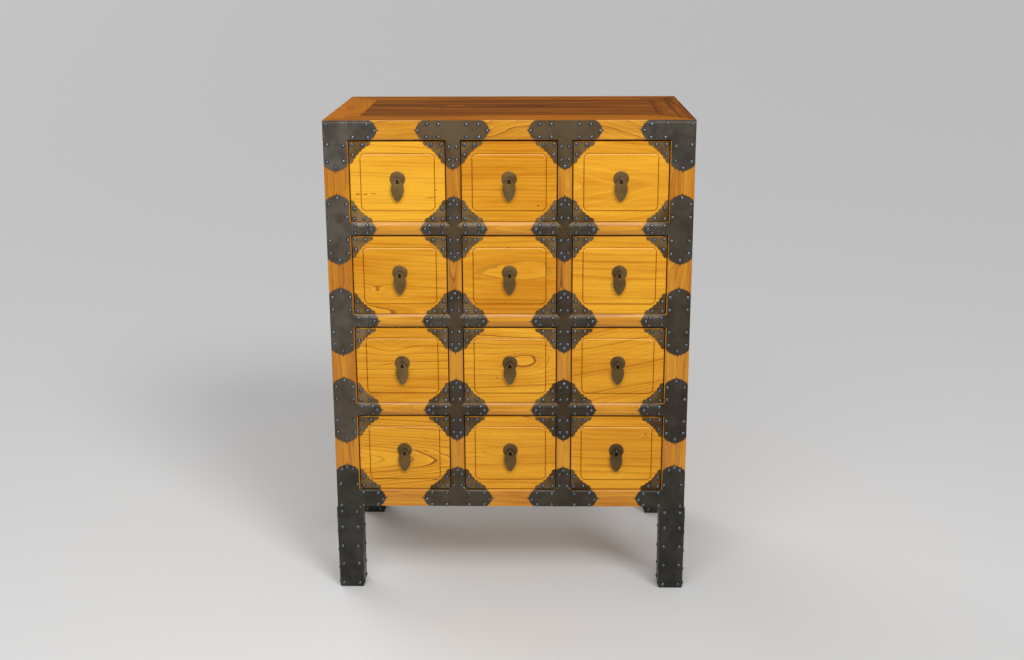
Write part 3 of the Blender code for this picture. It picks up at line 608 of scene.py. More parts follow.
# %% Rails
MID_RAIL, DIVIDER = 0.026, 0.028
RAIL_DEPTH, DIVIDER_DEPTH, BOW = 0.030, 0.027, 0.0045
BOTTOM_RAIL, BOTTOM_ROUND, LEG_HEIGHT = 0.036, 0.007, 0.179
ROWS, ROW_PITCH, OPENING_HEIGHT = 4, 0.182, 0.156
COLUMN_PITCH = (2 * POST_INNER + DIVIDER) / 3
RAIL_TOP = LEG_HEIGHT + BOTTOM_RAIL
LOWEST_MID_RAIL = RAIL_TOP + OPENING_HEIGHT + MID_RAIL / 2
RAIL_LEVELS = [LOWEST_MID_RAIL + step * ROW_PITCH for step in range(ROWS - 1)]
DIVIDER_PLACES = [-COLUMN_PITCH / 2, COLUMN_PITCH / 2]


def bowed_bar(half_width, depth, length):
    """A bar along X with a bowed front, from x = 0, its crown at y = 0."""
    stations = [((-half_width, BOW), 0), ((half_width, BOW), BOW)]
    stations += [((half_width, depth), 0), ((-half_width, depth), 0)]
    bm = draw_outline(stations, 16)
    turn_by(bm, -90, "X")
    turn_by(bm, 90, "Y")
    push_out(bm, (length, 0, 0))
    return bm


bar_end = POST_INNER - SEAT
for number, level in enumerate(reversed(RAIL_LEVELS), 1):
    bm = bowed_bar(MID_RAIL / 2, RAIL_DEPTH, 2 * bar_end)
    move(bm, (-bar_end, FRONT, level))
    heart = (0.010 * number, 0.070)
    # Painted shade along each rail's lower edge
    stain_and_painted_light = painted_under_shade(level - MID_RAIL / 2)
    lay_grain(bm, RIGHTWARDS, FORWARDS, heart, coarse=1.4, tone=0.10, stain_and_painted_light=stain_and_painted_light)
    replaced = ["front_grid"] if number == 1 else []
    finish_piece(bm, f"mid_rail_{number}", frame_wood, stands_for=replaced)

bm = bmesh.new()
grain_layers(bm)
add_block(bm, (-bar_end, FRONT, LEG_HEIGHT), (bar_end, FRONT + RAIL_DEPTH, RAIL_TOP))
front_edges = [joined for joined in bm.edges if all(near(vert.co.y, FRONT) for vert in joined.verts)]
upper_edge = [joined for joined in front_edges if all(near(vert.co.z, RAIL_TOP) for vert in joined.verts)]
soften(bm, upper_edge, BOTTOM_ROUND, 8)
lay_grain(bm, RIGHTWARDS, FORWARDS, heart=(0.015, 0.055), coarse=1.3, tone=0.35)
finish_piece(bm, "bottom_rail", frame_wood)
print("Mid rails at", [round(level, 4) for level in RAIL_LEVELS])

# %% Dividers
# A divider's ends reach this far into the rails, where the iron plates hide the joint
COPE = 0.008


def behind_bow(point):
    """The flat sides of a divider, behind its bow, are painted dark as the shade in the gaps beside the
    drawers.
    """
    return UNDER_SHADE if point.y > BOW * 0.99 else 0


levels = [RAIL_TOP - COPE]
for level in RAIL_LEVELS:
    levels += [level - MID_RAIL / 2 + COPE, level + MID_RAIL / 2 - COPE]
levels.append(BODY_TOP - SEAT)
for number, x in enumerate(DIVIDER_PLACES, 1):
    for row in range(ROWS):
        low_end, high_end = levels[2 * row], levels[2 * row + 1]
        bm = bowed_bar(DIVIDER / 2, DIVIDER_DEPTH, high_end - low_end)
        heart = (draw.uniform(-0.03, 0.03), 0.06)
        lay_grain(bm, RIGHTWARDS, FORWARDS, heart, coarse=1.5, tone=0.2, stain_and_painted_light=behind_bow)
        turn_by(bm, -90, "Y")
        move(bm, (x, FRONT, low_end))
        finish_piece(bm, f"divider_{number}_row{ROWS - row}", frame_wood)
print("Dividers at", [round(x, 4) for x in DIVIDER_PLACES])

# %% [markdown]
# ## Walls
# The photograph doesn't show the sides and the back, so they are built as such chests are: rails between
# the posts with thin panels set a little back. The side walls carry ledges for the shelves.

# %% Walls
WALL, WALL_RECESS, WALL_PANEL = 0.020, 0.004, 0.010
WALL_RAIL, WALL_MID_RAIL = 0.040, 0.026
SHELF, LEDGE_HEIGHT, LEDGE_REACH, LEDGE_EDGE = 0.012, 0.012, 0.015, 0.001
GROOVE = 0.004


def place_board(bm, matrix, low, high, along, out, edge, **grain):
    """A board given in a wall's own frame, where the wall's outer face lies at y = 0 and looks to -Y."""
    corners = [matrix @ Vector(corner) for corner in (low, high)]
    lows = [min(first, second) for first, second in zip(*corners)]
    highs = [max(first, second) for first, second in zip(*corners)]
    turned = matrix.to_3x3()
    add_board(bm, lows, highs, turned @ Vector(along), turned @ Vector(out), edge, **grain)


def build_wall(name, matrix, half, has_muntin, replaced):
    low, high = LEG_HEIGHT, BODY_TOP - SEAT
    middle = RAIL_LEVELS[1]
    half_mid = WALL_MID_RAIL / 2
    rails = [("bottom", low, low + BOTTOM_RAIL), ("middle", middle - half_mid, middle + half_mid),
             ("top", high - WALL_RAIL, high)]
    for number, (level, foot, head) in enumerate(rails):
        bm = bmesh.new()
        heart = (0.02, 0.06 + 0.01 * number)
        place_board(bm, matrix, (-half, 0, foot), (half, WALL, head), RIGHTWARDS, FORWARDS, EDGE_ROUND,
                    heart=heart, coarse=1.3, tone=0.35)
        stands_for = [replaced] if number == 0 else []
        finish_piece(bm, f"{name}_{level}_rail", frame_wood, stands_for=stands_for)
    gaps = [(rails[0][2], rails[1][1]), (rails[1][2], rails[2][1])]
    columns = [(-half, -half_mid), (half_mid, half)] if has_muntin else [(-half, half)]
    bm = bmesh.new()
    for foot, head in gaps:
        for number, (left, right) in enumerate(columns):
            inner_left = left if near(left, -half) else left - GROOVE
            inner_right = right if near(right, half) else right + GROOVE
            place_board(bm, matrix, (inner_left, WALL_RECESS, foot - GROOVE),
                        (inner_right, WALL_RECESS + WALL_PANEL, head + GROOVE), UP, FORWARDS, THIN_EDGE,
                        heart=(0.02 - 0.03 * number, 0.09), coarse=0.9, tone=0.25)
    finish_piece(bm, f"{name}_panels", frame_wood)
    if has_muntin:
        bm = bmesh.new()
        for foot, head in gaps:
            place_board(bm, matrix, (-half_mid, 0, foot), (half_mid, WALL, head), UP, FORWARDS, EDGE_ROUND,
                        heart=(0.02, 0.07), coarse=1.4, tone=0.35)
        finish_piece(bm, f"{name}_muntins", frame_wood)


side_half = HALF_DEPTH - POST - SEAT
for side, sign in SIDES:
    turned = Matrix.Rotation(sign * math.pi / 2, 4, "Z")
    place = Matrix.Translation((sign * HALF_WIDTH, MIDDLE_Y, 0)) @ turned
    build_wall(f"{side}_side", place, side_half, has_muntin=False, replaced=f"{side}_side")
    bm = bmesh.new()
    for row in range(ROWS):
        top = RAIL_TOP + row * ROW_PITCH - SHELF - SEAT
        place_board(bm, place, (-side_half, WALL_RECESS + WALL_PANEL, top - LEDGE_HEIGHT),
                    (side_half, WALL + LEDGE_REACH, top), RIGHTWARDS, BACKWARDS, LEDGE_EDGE, coarse=1.2)
    finish_piece(bm, f"{side}_side_ledges", box_wood)
place = Matrix.Translation((0, BACK, 0)) @ Matrix.Rotation(math.pi, 4, "Z")
build_wall("back_wall", place, POST_INNER - SEAT, has_muntin=True, replaced="back_wall")
print("Ledges on each side wall:", ROWS)

# %% [markdown]
# ## Shelves
# Each row of drawers slides on a notched shelf with guide strips. The model's own shelves have the right
# shape, so they stay. They carry no attributes, so their finish reads Object coordinates, which run along
# the boards here.

# %% Shelves
SHELF_RING, SHELF_WANDER = 0.011, 0.05
SHELF_PALE, SHELF_DEEP, SHELF_PORES = (0.52, 0.34, 0.17, 1), (0.34, 0.19, 0.08, 1), (0.20, 0.10, 0.04, 1)

shelf_wood, tree, shader = new_material("shelf_wood")
place = add_node(tree, "ShaderNodeTexCoord").outputs["Object"]
wander = noise_at(tree, place, (2.0, 11, 11), 2.0, 0.5)
across = add_node(tree, "ShaderNodeSeparateXYZ", {0: place}).outputs["Y"]
rings = calculate(tree, "DIVIDE", calculate(tree, "MULTIPLY_ADD", wander, SHELF_WANDER, across), SHELF_RING)
band = fade(tree, calculate(tree, "FRACT", rings), 0.55, 1.0)
pores = fade(tree, noise_at(tree, place, (60, 1200, 1200), 2.0, 0.6), 0.5, 0.75)
ground = blend_colours(tree, calculate(tree, "MULTIPLY", band, 0.5), SHELF_PALE, SHELF_DEEP)
ground = blend_colours(tree, calculate(tree, "MULTIPLY", pores, 0.4), ground, SHELF_PORES)
tree.links.new(ground, shader.inputs["Base Color"])
set_sockets(shader, {"Roughness": 0.68})
for row in range(ROWS):
    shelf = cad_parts[f"shelf_row{row + 1}"]
    shelf.data.materials.clear()
    shelf.data.materials.append(shelf_wood)
print("Shelves finished in", shelf_wood.name)

# %% [markdown]
# ## Iron
# The plates are black forge scale rubbed thin. They are grey where hands and cloths have passed and olive
# brown where the scale is gone, with small specks of rust. An attribute tells how far a plate has browned,
# and noise on Object coordinates breaks that up, so that no two plates are alike. Another attribute paints
# shade on the iron, darker towards the lower right of the chest. The nails keep their colour on their crowns
# and have painted shade where they meet the plate, which an attribute of height on the dome tells the finish.

# %% Iron finish
# The second colour here is the near black that paints shade on the iron
RUST, SHADE_COLOUR = (0.130, 0.050, 0.020, 1), (0.002, 0.002, 0.002, 1)
GRIT_SHARE = 0.35


def iron_finish(name, pale, dark, bronze, rust_share, gloss):
    material, tree, shader = new_material(name)
    patina = read_attribute(tree, "patina", "Fac")
    place = add_node(tree, "ShaderNodeTexCoord").outputs["Object"]
    clouds = noise_at(tree, place, (30, 30, 30), 3.0, 0.55)
    spots = noise_at(tree, place, (150, 150, 150), 4.0, 0.65)
    grit = noise_at(tree, place, (900, 900, 900), 2.0, 0.6)
    ground = blend_colours(tree, fade(tree, clouds, 0.30, 0.70), dark, pale)
    browned = calculate(tree, "MULTIPLY", patina, fade(tree, spots, 0.20, 0.60))
    ground = blend_colours(tree, browned, ground, bronze)
    rusted = calculate(tree, "MULTIPLY", fade(tree, spots, 0.58, 0.74), rust_share)
    ground = blend_colours(tree, rusted, ground, RUST)
    speckled = calculate(tree, "MULTIPLY", fade(tree, grit, 0.52, 0.70), GRIT_SHARE)
    ground = blend_colours(tree, speckled, ground, dark)
    # Painted shade: the attribute darkens the iron towards the lower right of the chest
    ground = blend_colours(tree, read_attribute(tree, "painted_shade", "Fac"), ground, SHADE_COLOUR)
    tree.links.new(ground, shader.inputs["Base Color"])
    roughness = calculate(tree, "MULTIPLY_ADD", spots, 0.20, gloss - 0.10)
    tree.links.new(roughness, shader.inputs["Roughness"])
    height = calculate(tree, "MULTIPLY_ADD", grit, 0.30, spots)
    bump = add_node(tree, "ShaderNodeBump", {"Strength": 0.35, "Distance": 0.0004, "Height": height})
    tree.links.new(bump.outputs["Normal"], shader.inputs["Normal"])
    set_sockets(shader, {"Metallic": 0.75})
    return material


iron = iron_finish(
    "plate_iron", pale=(0.160, 0.150, 0.130, 1), dark=(0.072, 0.066, 0.056, 1),
    bronze=(0.210, 0.125, 0.046, 1), rust_share=0.30, gloss=0.40,
)
leg_iron = iron_finish(
    "leg_iron", pale=(0.056, 0.054, 0.046, 1), dark=(0.030, 0.029, 0.024, 1),
    bronze=(0.080, 0.052, 0.026, 1), rust_share=0.40, gloss=0.46,
)
brown_iron = iron_finish(
    "brown_iron", pale=(0.360, 0.225, 0.090, 1), dark=(0.150, 0.085, 0.032, 1),
    bronze=(0.300, 0.165, 0.062, 1), rust_share=0.25, gloss=0.44,
)
leaf_iron = iron_finish(
    "leaf_iron", pale=(0.280, 0.172, 0.058, 1), dark=(0.180, 0.104, 0.034, 1),
    bronze=(0.250, 0.142, 0.050, 1), rust_share=0.20, gloss=0.42,
)
print("Iron finishes:", [iron.name, leg_iron.name, brown_iron.name, leaf_iron.name])

# %% Nail finish, and painted shade on iron
NAIL_BLUED, NAIL_GREY = (0.155, 0.178, 0.208, 1), (0.100, 0.104, 0.104, 1)
# The near black at the foot of a nail is painted shade, where its dome meets the plate
NAIL_FOOT_SHADE = (0.006, 0.006, 0.006, 1)
# How fast the painted shade on iron deepens to the right and downwards, and how dark it gets
SIDEWAYS_SHADE, DOWNWARD_SHADE, DARKEST_SHADE = 0.49, 0.50, 0.8

nail_iron, tree, shader = new_material("nail_iron")
height = read_attribute(tree, "rise", "Fac")
place = add_node(tree, "ShaderNodeTexCoord").outputs["Object"]
patches = fade(tree, noise_at(tree, place, (160, 160, 160), 3.0, 0.6), 0.35, 0.65)
crown = blend_colours(tree, patches, NAIL_BLUED, NAIL_GREY)
# The crown keeps its own colour, and painted shade darkens the dome towards its foot
crown_over_shade = blend_colours(tree, fade(tree, height, 0.20, 0.85), NAIL_FOOT_SHADE, crown)
tree.links.new(crown_over_shade, shader.inputs["Base Color"])
set_sockets(shader, {"Metallic": 0.85, "Roughness": 0.28})


def dull(bm, start):
    """Paints shade onto iron, darker towards the lower right of the chest, where less light falls."""
    painted_shade = bm.verts.layers.float.new("painted_shade")
    for vert in bm.verts:
        share = start + SIDEWAYS_SHADE * vert.co.x + DOWNWARD_SHADE * (HEIGHT - vert.co.z)
        vert[painted_shade] = min(max(share, 0), DARKEST_SHADE)


print("The nails' finish is", nail_iron.name)

# %% [markdown]
# ## Nails
# Over six hundred dome-headed nails hold the plates. One dome is made as the upper half of a flattened
# sphere and copied to every place, so it has few faces. Each copy is turned, tilted and sized a little
# differently, as hand-made nails are.

# %% Nail helpers
NAIL_RADIUS, NAIL_RISE, NAIL_SUNK = 0.0040, 0.0027, 0.0002
NAIL_TILT = 0.05
SMALLEST_NAIL_SHARE, LARGEST_NAIL_SHARE = 0.94, 1.05


def nail_shape():
    bm = bmesh.new()
    rise = bm.verts.layers.float.new("rise")
    bmesh.ops.create_uvsphere(bm, u_segments=12, v_segments=8, radius=1)
    cut_off(bm, (0, 0, 0), (0, 0, -1))
    for vert in bm.verts:
        vert[rise] = vert.co.z
    bmesh.ops.scale(bm, vec=(NAIL_RADIUS, NAIL_RADIUS, NAIL_RISE), verts=bm.verts)
    mesh = bpy.data.meshes.new("nail")
    bm.to_mesh(mesh)
    bm.free()
    return mesh


NAIL = nail_shape()


def drive_nails(name, spots, body="root"):
    """Joins copies of the nail at the spots, each a place and the way that the nail's crown looks."""
    bm = bmesh.new()
    for place, out in spots:
        bm.from_mesh(NAIL)
        bm.verts.ensure_lookup_table()
        fresh = bm.verts[-len(NAIL.vertices):]
        turned = Vector(out).to_track_quat("Z", "Y").to_matrix().to_4x4()
        tilt = Matrix.Rotation(draw.gauss(0, NAIL_TILT), 4, "X")
        tilt = tilt @ Matrix.Rotation(draw.gauss(0, NAIL_TILT), 4, "Y")
        scale = draw.uniform(SMALLEST_NAIL_SHARE, LARGEST_NAIL_SHARE)
        sunk = Vector(place) - Vector(out) * NAIL_SUNK
        matrix = Matrix.Translation(sunk) @ turned @ tilt @ Matrix.Rotation(draw.uniform(0, 6), 4, "Z")
        bmesh.ops.transform(bm, matrix=matrix @ Matrix.Diagonal((scale, scale, scale, 1)), verts=fresh)
    finish_piece(bm, name, nail_iron, body, smooth_degrees=70)


print("A nail has", len(NAIL.polygons), "faces")

# %% [markdown]
# ## Scalloped plates
# Every plate is cut from sheet, and its arms end in three scallops on each side and a small point. An
# outline is a list of stations for the pen: where to go, and how far the way there bulges. The sheet is cut
# along its bends, pressed back where the wood below is bowed, and given its thickness, and at last its rim is
# softened. A sheet could be cut by a Boolean from a block as well, but the bends would then be lost.

# %% Plate helpers
SHEET = 0.0012
OUTER_MARGIN, PLATE_MARGIN, BAR_MARGIN = 0.0007, 0.0015, 0.0003
WIDE_END, NARROW_END = 0.0120, 0.0085
NIPPLE, NIPPLE_HALF = 0.0048, 0.0018
WIDE_FULLNESS, NARROW_FULLNESS = 0.42, 0.55
LOBES = 3
LOBE_SWELL = 0.0014
NOTCH = 0.0007
BEND_LENGTH = 0.008
CUT_PITCH, CLOSEST_CUTS = 0.0018, 0.00005
RIM, SHARP = 0.0003, 1
NAIL_SCATTER, SLOPE_STEP = 0.0003, 0.0005
GLOW_RADIUS, PATINA_SCATTER = 0.024, 0.06


def bow_depth(across, half_width):
    """How far the face of a bowed bar lies behind its crown, at a distance from its centre line."""
    radius = (half_width * half_width + BOW * BOW) / (2 * BOW)
    across = min(abs(across), half_width)
    return radius - math.sqrt(radius * radius - across * across)


def ease(share):
    share = min(max(share, 0), 1)
    return share * share * (3 - 2 * share)


def scallops(start, bend, end, lobes, swell):
    """Stations after start, up to end, on a curve drawn towards bend."""
    start, bend, end = Vector(start), Vector(bend), Vector(end)
    shares = [step / lobes for step in range(1, lobes + 1)]
    return [(start * (1 - s) ** 2 + bend * 2 * s * (1 - s) + end * s * s, swell) for s in shares]


def arm_end(centre, along, half_width, reach, rise, fullness):
    """Stations round a plate arm's end, turning left: scallops up to a small point, and down again."""
    centre, along = Vector(centre), Vector(along)
    across = Vector((-along.y, along.x))
    start = Vector((half_width, reach - rise - NIPPLE))
    tip = Vector((NIPPLE_HALF, reach - NIPPLE))
    bend = ((start + tip) / 2).lerp(Vector((start.x, tip.y)), fullness)
    knots = [start - Vector((NOTCH, 0))] + [knot for knot, _ in scallops(start, bend, tip, LOBES, 0)]
    going = [(centre - across * knot.x + along * knot.y, LOBE_SWELL if number else 0)
             for number, knot in enumerate(knots)]
    coming = [(centre + across * knot.x + along * knot.y, LOBE_SWELL if number else 0)
              for number, knot in enumerate(reversed(knots))]
    foot, far_foot = (centre - side * across * start.x + along * start.y for side in (1, -1))
    return [(foot, 0)] + going + [(centre + along * reach, 0)] + coming + [(far_foot, 0)]


def wide_end(centre, along, half_width, reach):
    return arm_end(centre, along, half_width, reach, WIDE_END, WIDE_FULLNESS)


def narrow_end(centre, along, half_width, reach):
    return arm_end(centre, along, half_width, reach, NARROW_END, NARROW_FULLNESS)


def steps_between(low, high):
    count = max(int(round((high - low) / CUT_PITCH)), 1)
    return [low + (high - low) * step / count for step in range(count + 1)]


def sharp_rim(bm, fronts):
    """The sharp edges round the faces that were pushed forwards."""
    return [joined for joined in bm.edges if all(vert in fronts for vert in joined.verts)
            and len(joined.link_faces) == 2 and joined.calc_face_angle() > SHARP]


def press_sheet(stations, cuts=(), depth=None, thick=SHEET, level=-SEAT):
    """A sheet in X and Z whose back lies at y = level, cut along its bends and pressed back there."""
    bm = draw_outline(stations)
    bmesh.ops.triangulate(bm, faces=bm.faces)
    for axis, lines in cuts:
        direction = Vector((1, 0, 0)) if axis == "x" else Vector((0, 0, 1))
        if axis == "diagonal":
            direction, lines = lines
        for line in lines:
            bmesh.ops.bisect_plane(bm, geom=[*bm.verts, *bm.edges, *bm.faces], dist=1e-6,
                                   plane_co=direction * line, plane_no=direction)
    bmesh.ops.remove_doubles(bm, verts=bm.verts, dist=CLOSEST_CUTS)
    bmesh.ops.triangulate(bm, faces=bm.faces)
    for vert in bm.verts:
        vert.co.y = level + (depth(vert.co.x, vert.co.z) if depth else 0)
    fronts = set(push_out(bm, (0, -thick, 0)))
    soften(bm, sharp_rim(bm, fronts), RIM, 1)
    return bm


def mirror_x(bm):
    bmesh.ops.scale(bm, vec=(-1, 1, 1), verts=bm.verts)
    bmesh.ops.reverse_faces(bm, faces=bm.faces)


def nail_spots(points, place, sign=1, depth=None):
    """Places and directions of nails from points in millimetres on a plate, seen from the front."""
    spots = []
    for x, z in points:
        x, z = x / 1000 + draw.gauss(0, NAIL_SCATTER), z / 1000 + draw.gauss(0, NAIL_SCATTER)
        sunk = depth(x, z) if depth else 0
        step = SLOPE_STEP
        slope_x = (depth(x + step, z) - depth(x - step, z)) / (2 * step) if depth else 0
        slope_z = (depth(x, z + step) - depth(x, z - step)) / (2 * step) if depth else 0
        out = Vector((sign * slope_x, -1, slope_z)).normalized()
        spots.append((Vector(place) + Vector((sign * x, sunk - SEAT - SHEET, z)), out))
    return spots


def finish_plate(bm, name, place, patina, glow=0.0, material=iron, stands_for=(), dullness=0.20):
    """Writes how brown a plate is, most brown in its middle, moves it to its place and paints shade on plate
    iron.
    """
    browned = bm.verts.layers.float.new("patina")
    patina += draw.gauss(0, PATINA_SCATTER)
    for vert in bm.verts:
        from_middle = (vert.co.x ** 2 + vert.co.z ** 2) / GLOW_RADIUS ** 2
        vert[browned] = min(max(patina + glow * math.exp(-from_middle), 0), 1)
    move(bm, place)
    # Plate iron gets painted shade, darker towards the lower right
    if material == iron:
        dull(bm, dullness)
    finish_piece(bm, name, material, stands_for=stands_for, smooth_degrees=25)


def mount_plate(family, where, shape, place, nails, depth=None, mirrored=False, **look):
    """Sets a copy of a plate in its place and nails it. A plate of the model's own is replaced by it."""
    bm = shape.copy()
    if mirrored:
        mirror_x(bm)
    name = f"{family}_plate_{where}"
    is_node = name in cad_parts
    replaced = [name] if is_node else []
    finish_plate(bm, name + "_iron" if is_node else name, place, stands_for=replaced, **look)
    drive_nails(f"nails_{family}_{where}", nail_spots(nails, place, -1 if mirrored else 1, depth))


print("Scallops to each side of a point:", LOBES)

# %% Top corner plates
CORNER_ARM, CORNER_DROP = 0.1060, 0.0995
edge, post_inner = OUTER_MARGIN, POST - PLATE_MARGIN
post_middle, post_half = (edge + post_inner) / 2, (post_inner - edge) / 2
rail_low, rail_high = BODY_TOP + PLATE_MARGIN - HEIGHT, -BAR_MARGIN
rail_middle, rail_half = (rail_low + rail_high) / 2, (rail_high - rail_low) / 2
TOP_CORNER_NAILS = [
    (7.8, -7.2), (52.9, -6.4), (83.5, -7.7), (97.8, -20), (84.8, -32.3), (56.7, -32.1),
    (7.6, -46.2), (37.7, -48.8), (7.5, -77.8), (37.7, -77.3), (23, -89.8),
]
FOLD_LEVEL, FOLD_RISE, FOLD_HALF = -0.0050, 0.00035, 0.0012


def folded(x, z):
    return -FOLD_RISE * ease(1 - abs(z - FOLD_LEVEL) / FOLD_HALF)


stations = [((edge, rail_high), 0)]
stations += wide_end((post_middle, 0), (0, -1), post_half, CORNER_DROP)
stations += [((post_inner, rail_low), 0)]
stations += wide_end((0, rail_middle), (1, 0), rail_half, CORNER_ARM)
fold_cuts = [("z", [FOLD_LEVEL + share * FOLD_HALF for share in (-1, -0.5, 0, 0.5, 1)])]
corner_shape = press_sheet(stations, fold_cuts, folded)
for side, sign in SIDES:
    place = (sign * HALF_WIDTH, FRONT, HEIGHT)
    mount_plate("top_corner", side, corner_shape, place, TOP_CORNER_NAILS, mirrored=sign > 0, patina=0.18)
print("A top corner plate has", len(corner_shape.faces), "faces")

# %% Plates on the top rail and the dividers
TOP_TEE_REACH, TOP_TEE_STEM = 0.0725, 0.0955
TOP_TEE_NAILS = [
    (-48, -7.5), (48, -7.5), (-26, -7.7), (26, -7.7), (-65, -19.7), (65, -19.7), (-49, -31.6), (49, -31.6),
    (-26, -31.3), (26, -31.3), (-7.5, -50), (7.5, -50), (-7.5, -74.5), (7.5, -74.5), (0, -86),
]
stem_half = DIVIDER / 2 - BAR_MARGIN
RAIL_UNDER = BODY_TOP - HEIGHT


def top_tee_depth(x, z):
    return ease((RAIL_UNDER - z) / BEND_LENGTH) * bow_depth(x, DIVIDER / 2)


stations = wide_end((0, rail_middle), (1, 0), rail_half, TOP_TEE_REACH)
stations += wide_end((0, rail_middle), (-1, 0), rail_half, TOP_TEE_REACH)
stations += [((-stem_half, rail_low), 0)]
stations += narrow_end((0, 0), (0, -1), stem_half, TOP_TEE_STEM)
stations += [((stem_half, rail_low), 0)]
stem_cuts = [("x", steps_between(-stem_half, stem_half)[1:-1] + [-0.03, 0.03]),
             ("z", steps_between(RAIL_UNDER - BEND_LENGTH, RAIL_UNDER) + [-0.060, -0.075])]
tee_shape = press_sheet(stations, stem_cuts, top_tee_depth)
for number, x in enumerate(DIVIDER_PLACES, 1):
    mount_plate("top_tee", number, tee_shape, (x, FRONT, HEIGHT), TOP_TEE_NAILS, top_tee_depth, patina=0.85)
print("A top tee has", len(tee_shape.faces), "faces")

# %% Plates on the posts and mid rails
SIDE_TEE_RISE, SIDE_TEE_FALL, SIDE_TEE_ARM = 0.0700, 0.0722, 0.0988
arm_half = MID_RAIL / 2 - BAR_MARGIN
SIDE_TEE_NAILS = [
    (23.3, 60.5), (23.3, -60.5), (6.7, 47.5), (6.7, -47.5), (40.7, 47.7), (40.7, -47.7),
    (6.7, 22.5), (6.7, -22.5), (40.5, 22.7), (40.5, -22.7), (56, 7.3), (56, -7.3),
    (78.3, 7.2), (78.3, -7.2), (86.3, 0),
]


def side_tee_depth(x, z):
    return ease((x - POST) / BEND_LENGTH) * bow_depth(z, MID_RAIL / 2)


stations = wide_end((post_middle, 0), (0, 1), post_half, SIDE_TEE_RISE)
stations += wide_end((post_middle, 0), (0, -1), post_half, SIDE_TEE_FALL)
stations += [((post_inner, -arm_half), 0)]
stations += narrow_end((0, 0), (1, 0), arm_half, SIDE_TEE_ARM)
stations += [((post_inner, arm_half), 0)]
arm_cuts = [("z", steps_between(-arm_half, arm_half)[1:-1]), ("x", steps_between(POST, POST + BEND_LENGTH))]
tee_shape = press_sheet(stations, arm_cuts, side_tee_depth)
for number, level in enumerate(reversed(RAIL_LEVELS), 1):
    for side, sign in SIDES:
        place = (sign * HALF_WIDTH, FRONT, level)
        mount_plate("side_tee", f"{side}_{number}", tee_shape, place, SIDE_TEE_NAILS, side_tee_depth,
                    mirrored=sign > 0, patina=0.35)
print("A side tee has", len(tee_shape.faces), "faces")

# %% Crosses
CROSS_REACH = 0.0666
half_x, half_z = DIVIDER / 2 - BAR_MARGIN, (DIVIDER / 2 - BAR_MARGIN) * MID_RAIL / DIVIDER
CROSS_NAILS = [(sign * along, side * 7) for sign in (-1, 1) for along in (21.7, 47) for side in (-1, 1)]
CROSS_NAILS += [(z, x) for x, z in CROSS_NAILS]
CROSS_NAILS += [(55, 0), (-55, 0), (0, 55), (0, -55)]


def cross_depth(x, z):
    return min(bow_depth(x, DIVIDER / 2), bow_depth(z, MID_RAIL / 2))


stations = narrow_end((0, 0), (1, 0), half_z, CROSS_REACH) + [((half_x, half_z), 0)]
stations += narrow_end((0, 0), (0, 1), half_x, CROSS_REACH) + [((-half_x, half_z), 0)]
stations += narrow_end((0, 0), (-1, 0), half_z, CROSS_REACH) + [((-half_x, -half_z), 0)]
stations += narrow_end((0, 0), (0, -1), half_x, CROSS_REACH) + [((half_x, -half_z), 0)]
cross_cuts = [("diagonal", (Vector((MID_RAIL, 0, sign * DIVIDER)).normalized(), [0])) for sign in (1, -1)]
beyond = [-0.040, -0.030, -0.022, 0.022, 0.030, 0.040]
cross_cuts += [("x", steps_between(-half_x, half_x)[1:-1] + beyond),
               ("z", steps_between(-half_z, half_z)[1:-1] + beyond)]
cross_shape = press_sheet(stations, cross_cuts, cross_depth)
for number, level in enumerate(reversed(RAIL_LEVELS), 1):
    for divider, x in enumerate(DIVIDER_PLACES, 1):
        mount_plate("cross", f"{number}_{divider}", cross_shape, (x, FRONT, level), CROSS_NAILS, cross_depth,
                    patina=0.40, glow=0.60, dullness=0.34)
print("A cross has", len(cross_shape.faces), "faces")

# %% Tees of the bottom rail
BOTTOM_TEE_STEM, BOTTOM_ARM, BOTTOM_RISE = 0.0515, 0.1020, 0.0565
LEG_SEAM = 0.005
bar_low, bar_high = BAR_MARGIN - BOTTOM_RAIL, -BAR_MARGIN
bar_middle, bar_half = (bar_low + bar_high) / 2, (bar_high - bar_low) / 2
BOTTOM_TEE_NAILS = [
    (-52.5, -6.8), (52.5, -6.8), (-23, -8), (23, -8), (-62.7, -20.5), (62.7, -20.5), (-53, -32), (53, -32),
    (-23, -32), (23, -32), (0, 42), (-8, 33), (8, 33), (-7.7, 8.3), (7.7, 8.3),
]
CURL_LEVELS = [-BOTTOM_ROUND, -0.0055, -0.0042, -0.0030, -0.0020, -0.0012, -0.0007]
STEM_FADE = 0.004


def rolled(z):
    """The plate follows the rounded upper edge of the bottom rail."""
    rise = min(max(BOTTOM_ROUND + z, 0), BOTTOM_ROUND)
    return BOTTOM_ROUND - math.sqrt(BOTTOM_ROUND ** 2 - rise ** 2)


def bottom_tee_depth(x, z):
    stem = ease(z / BEND_LENGTH) * bow_depth(x, DIVIDER / 2)
    return stem + rolled(z) * ease((abs(x) - stem_half) / STEM_FADE)


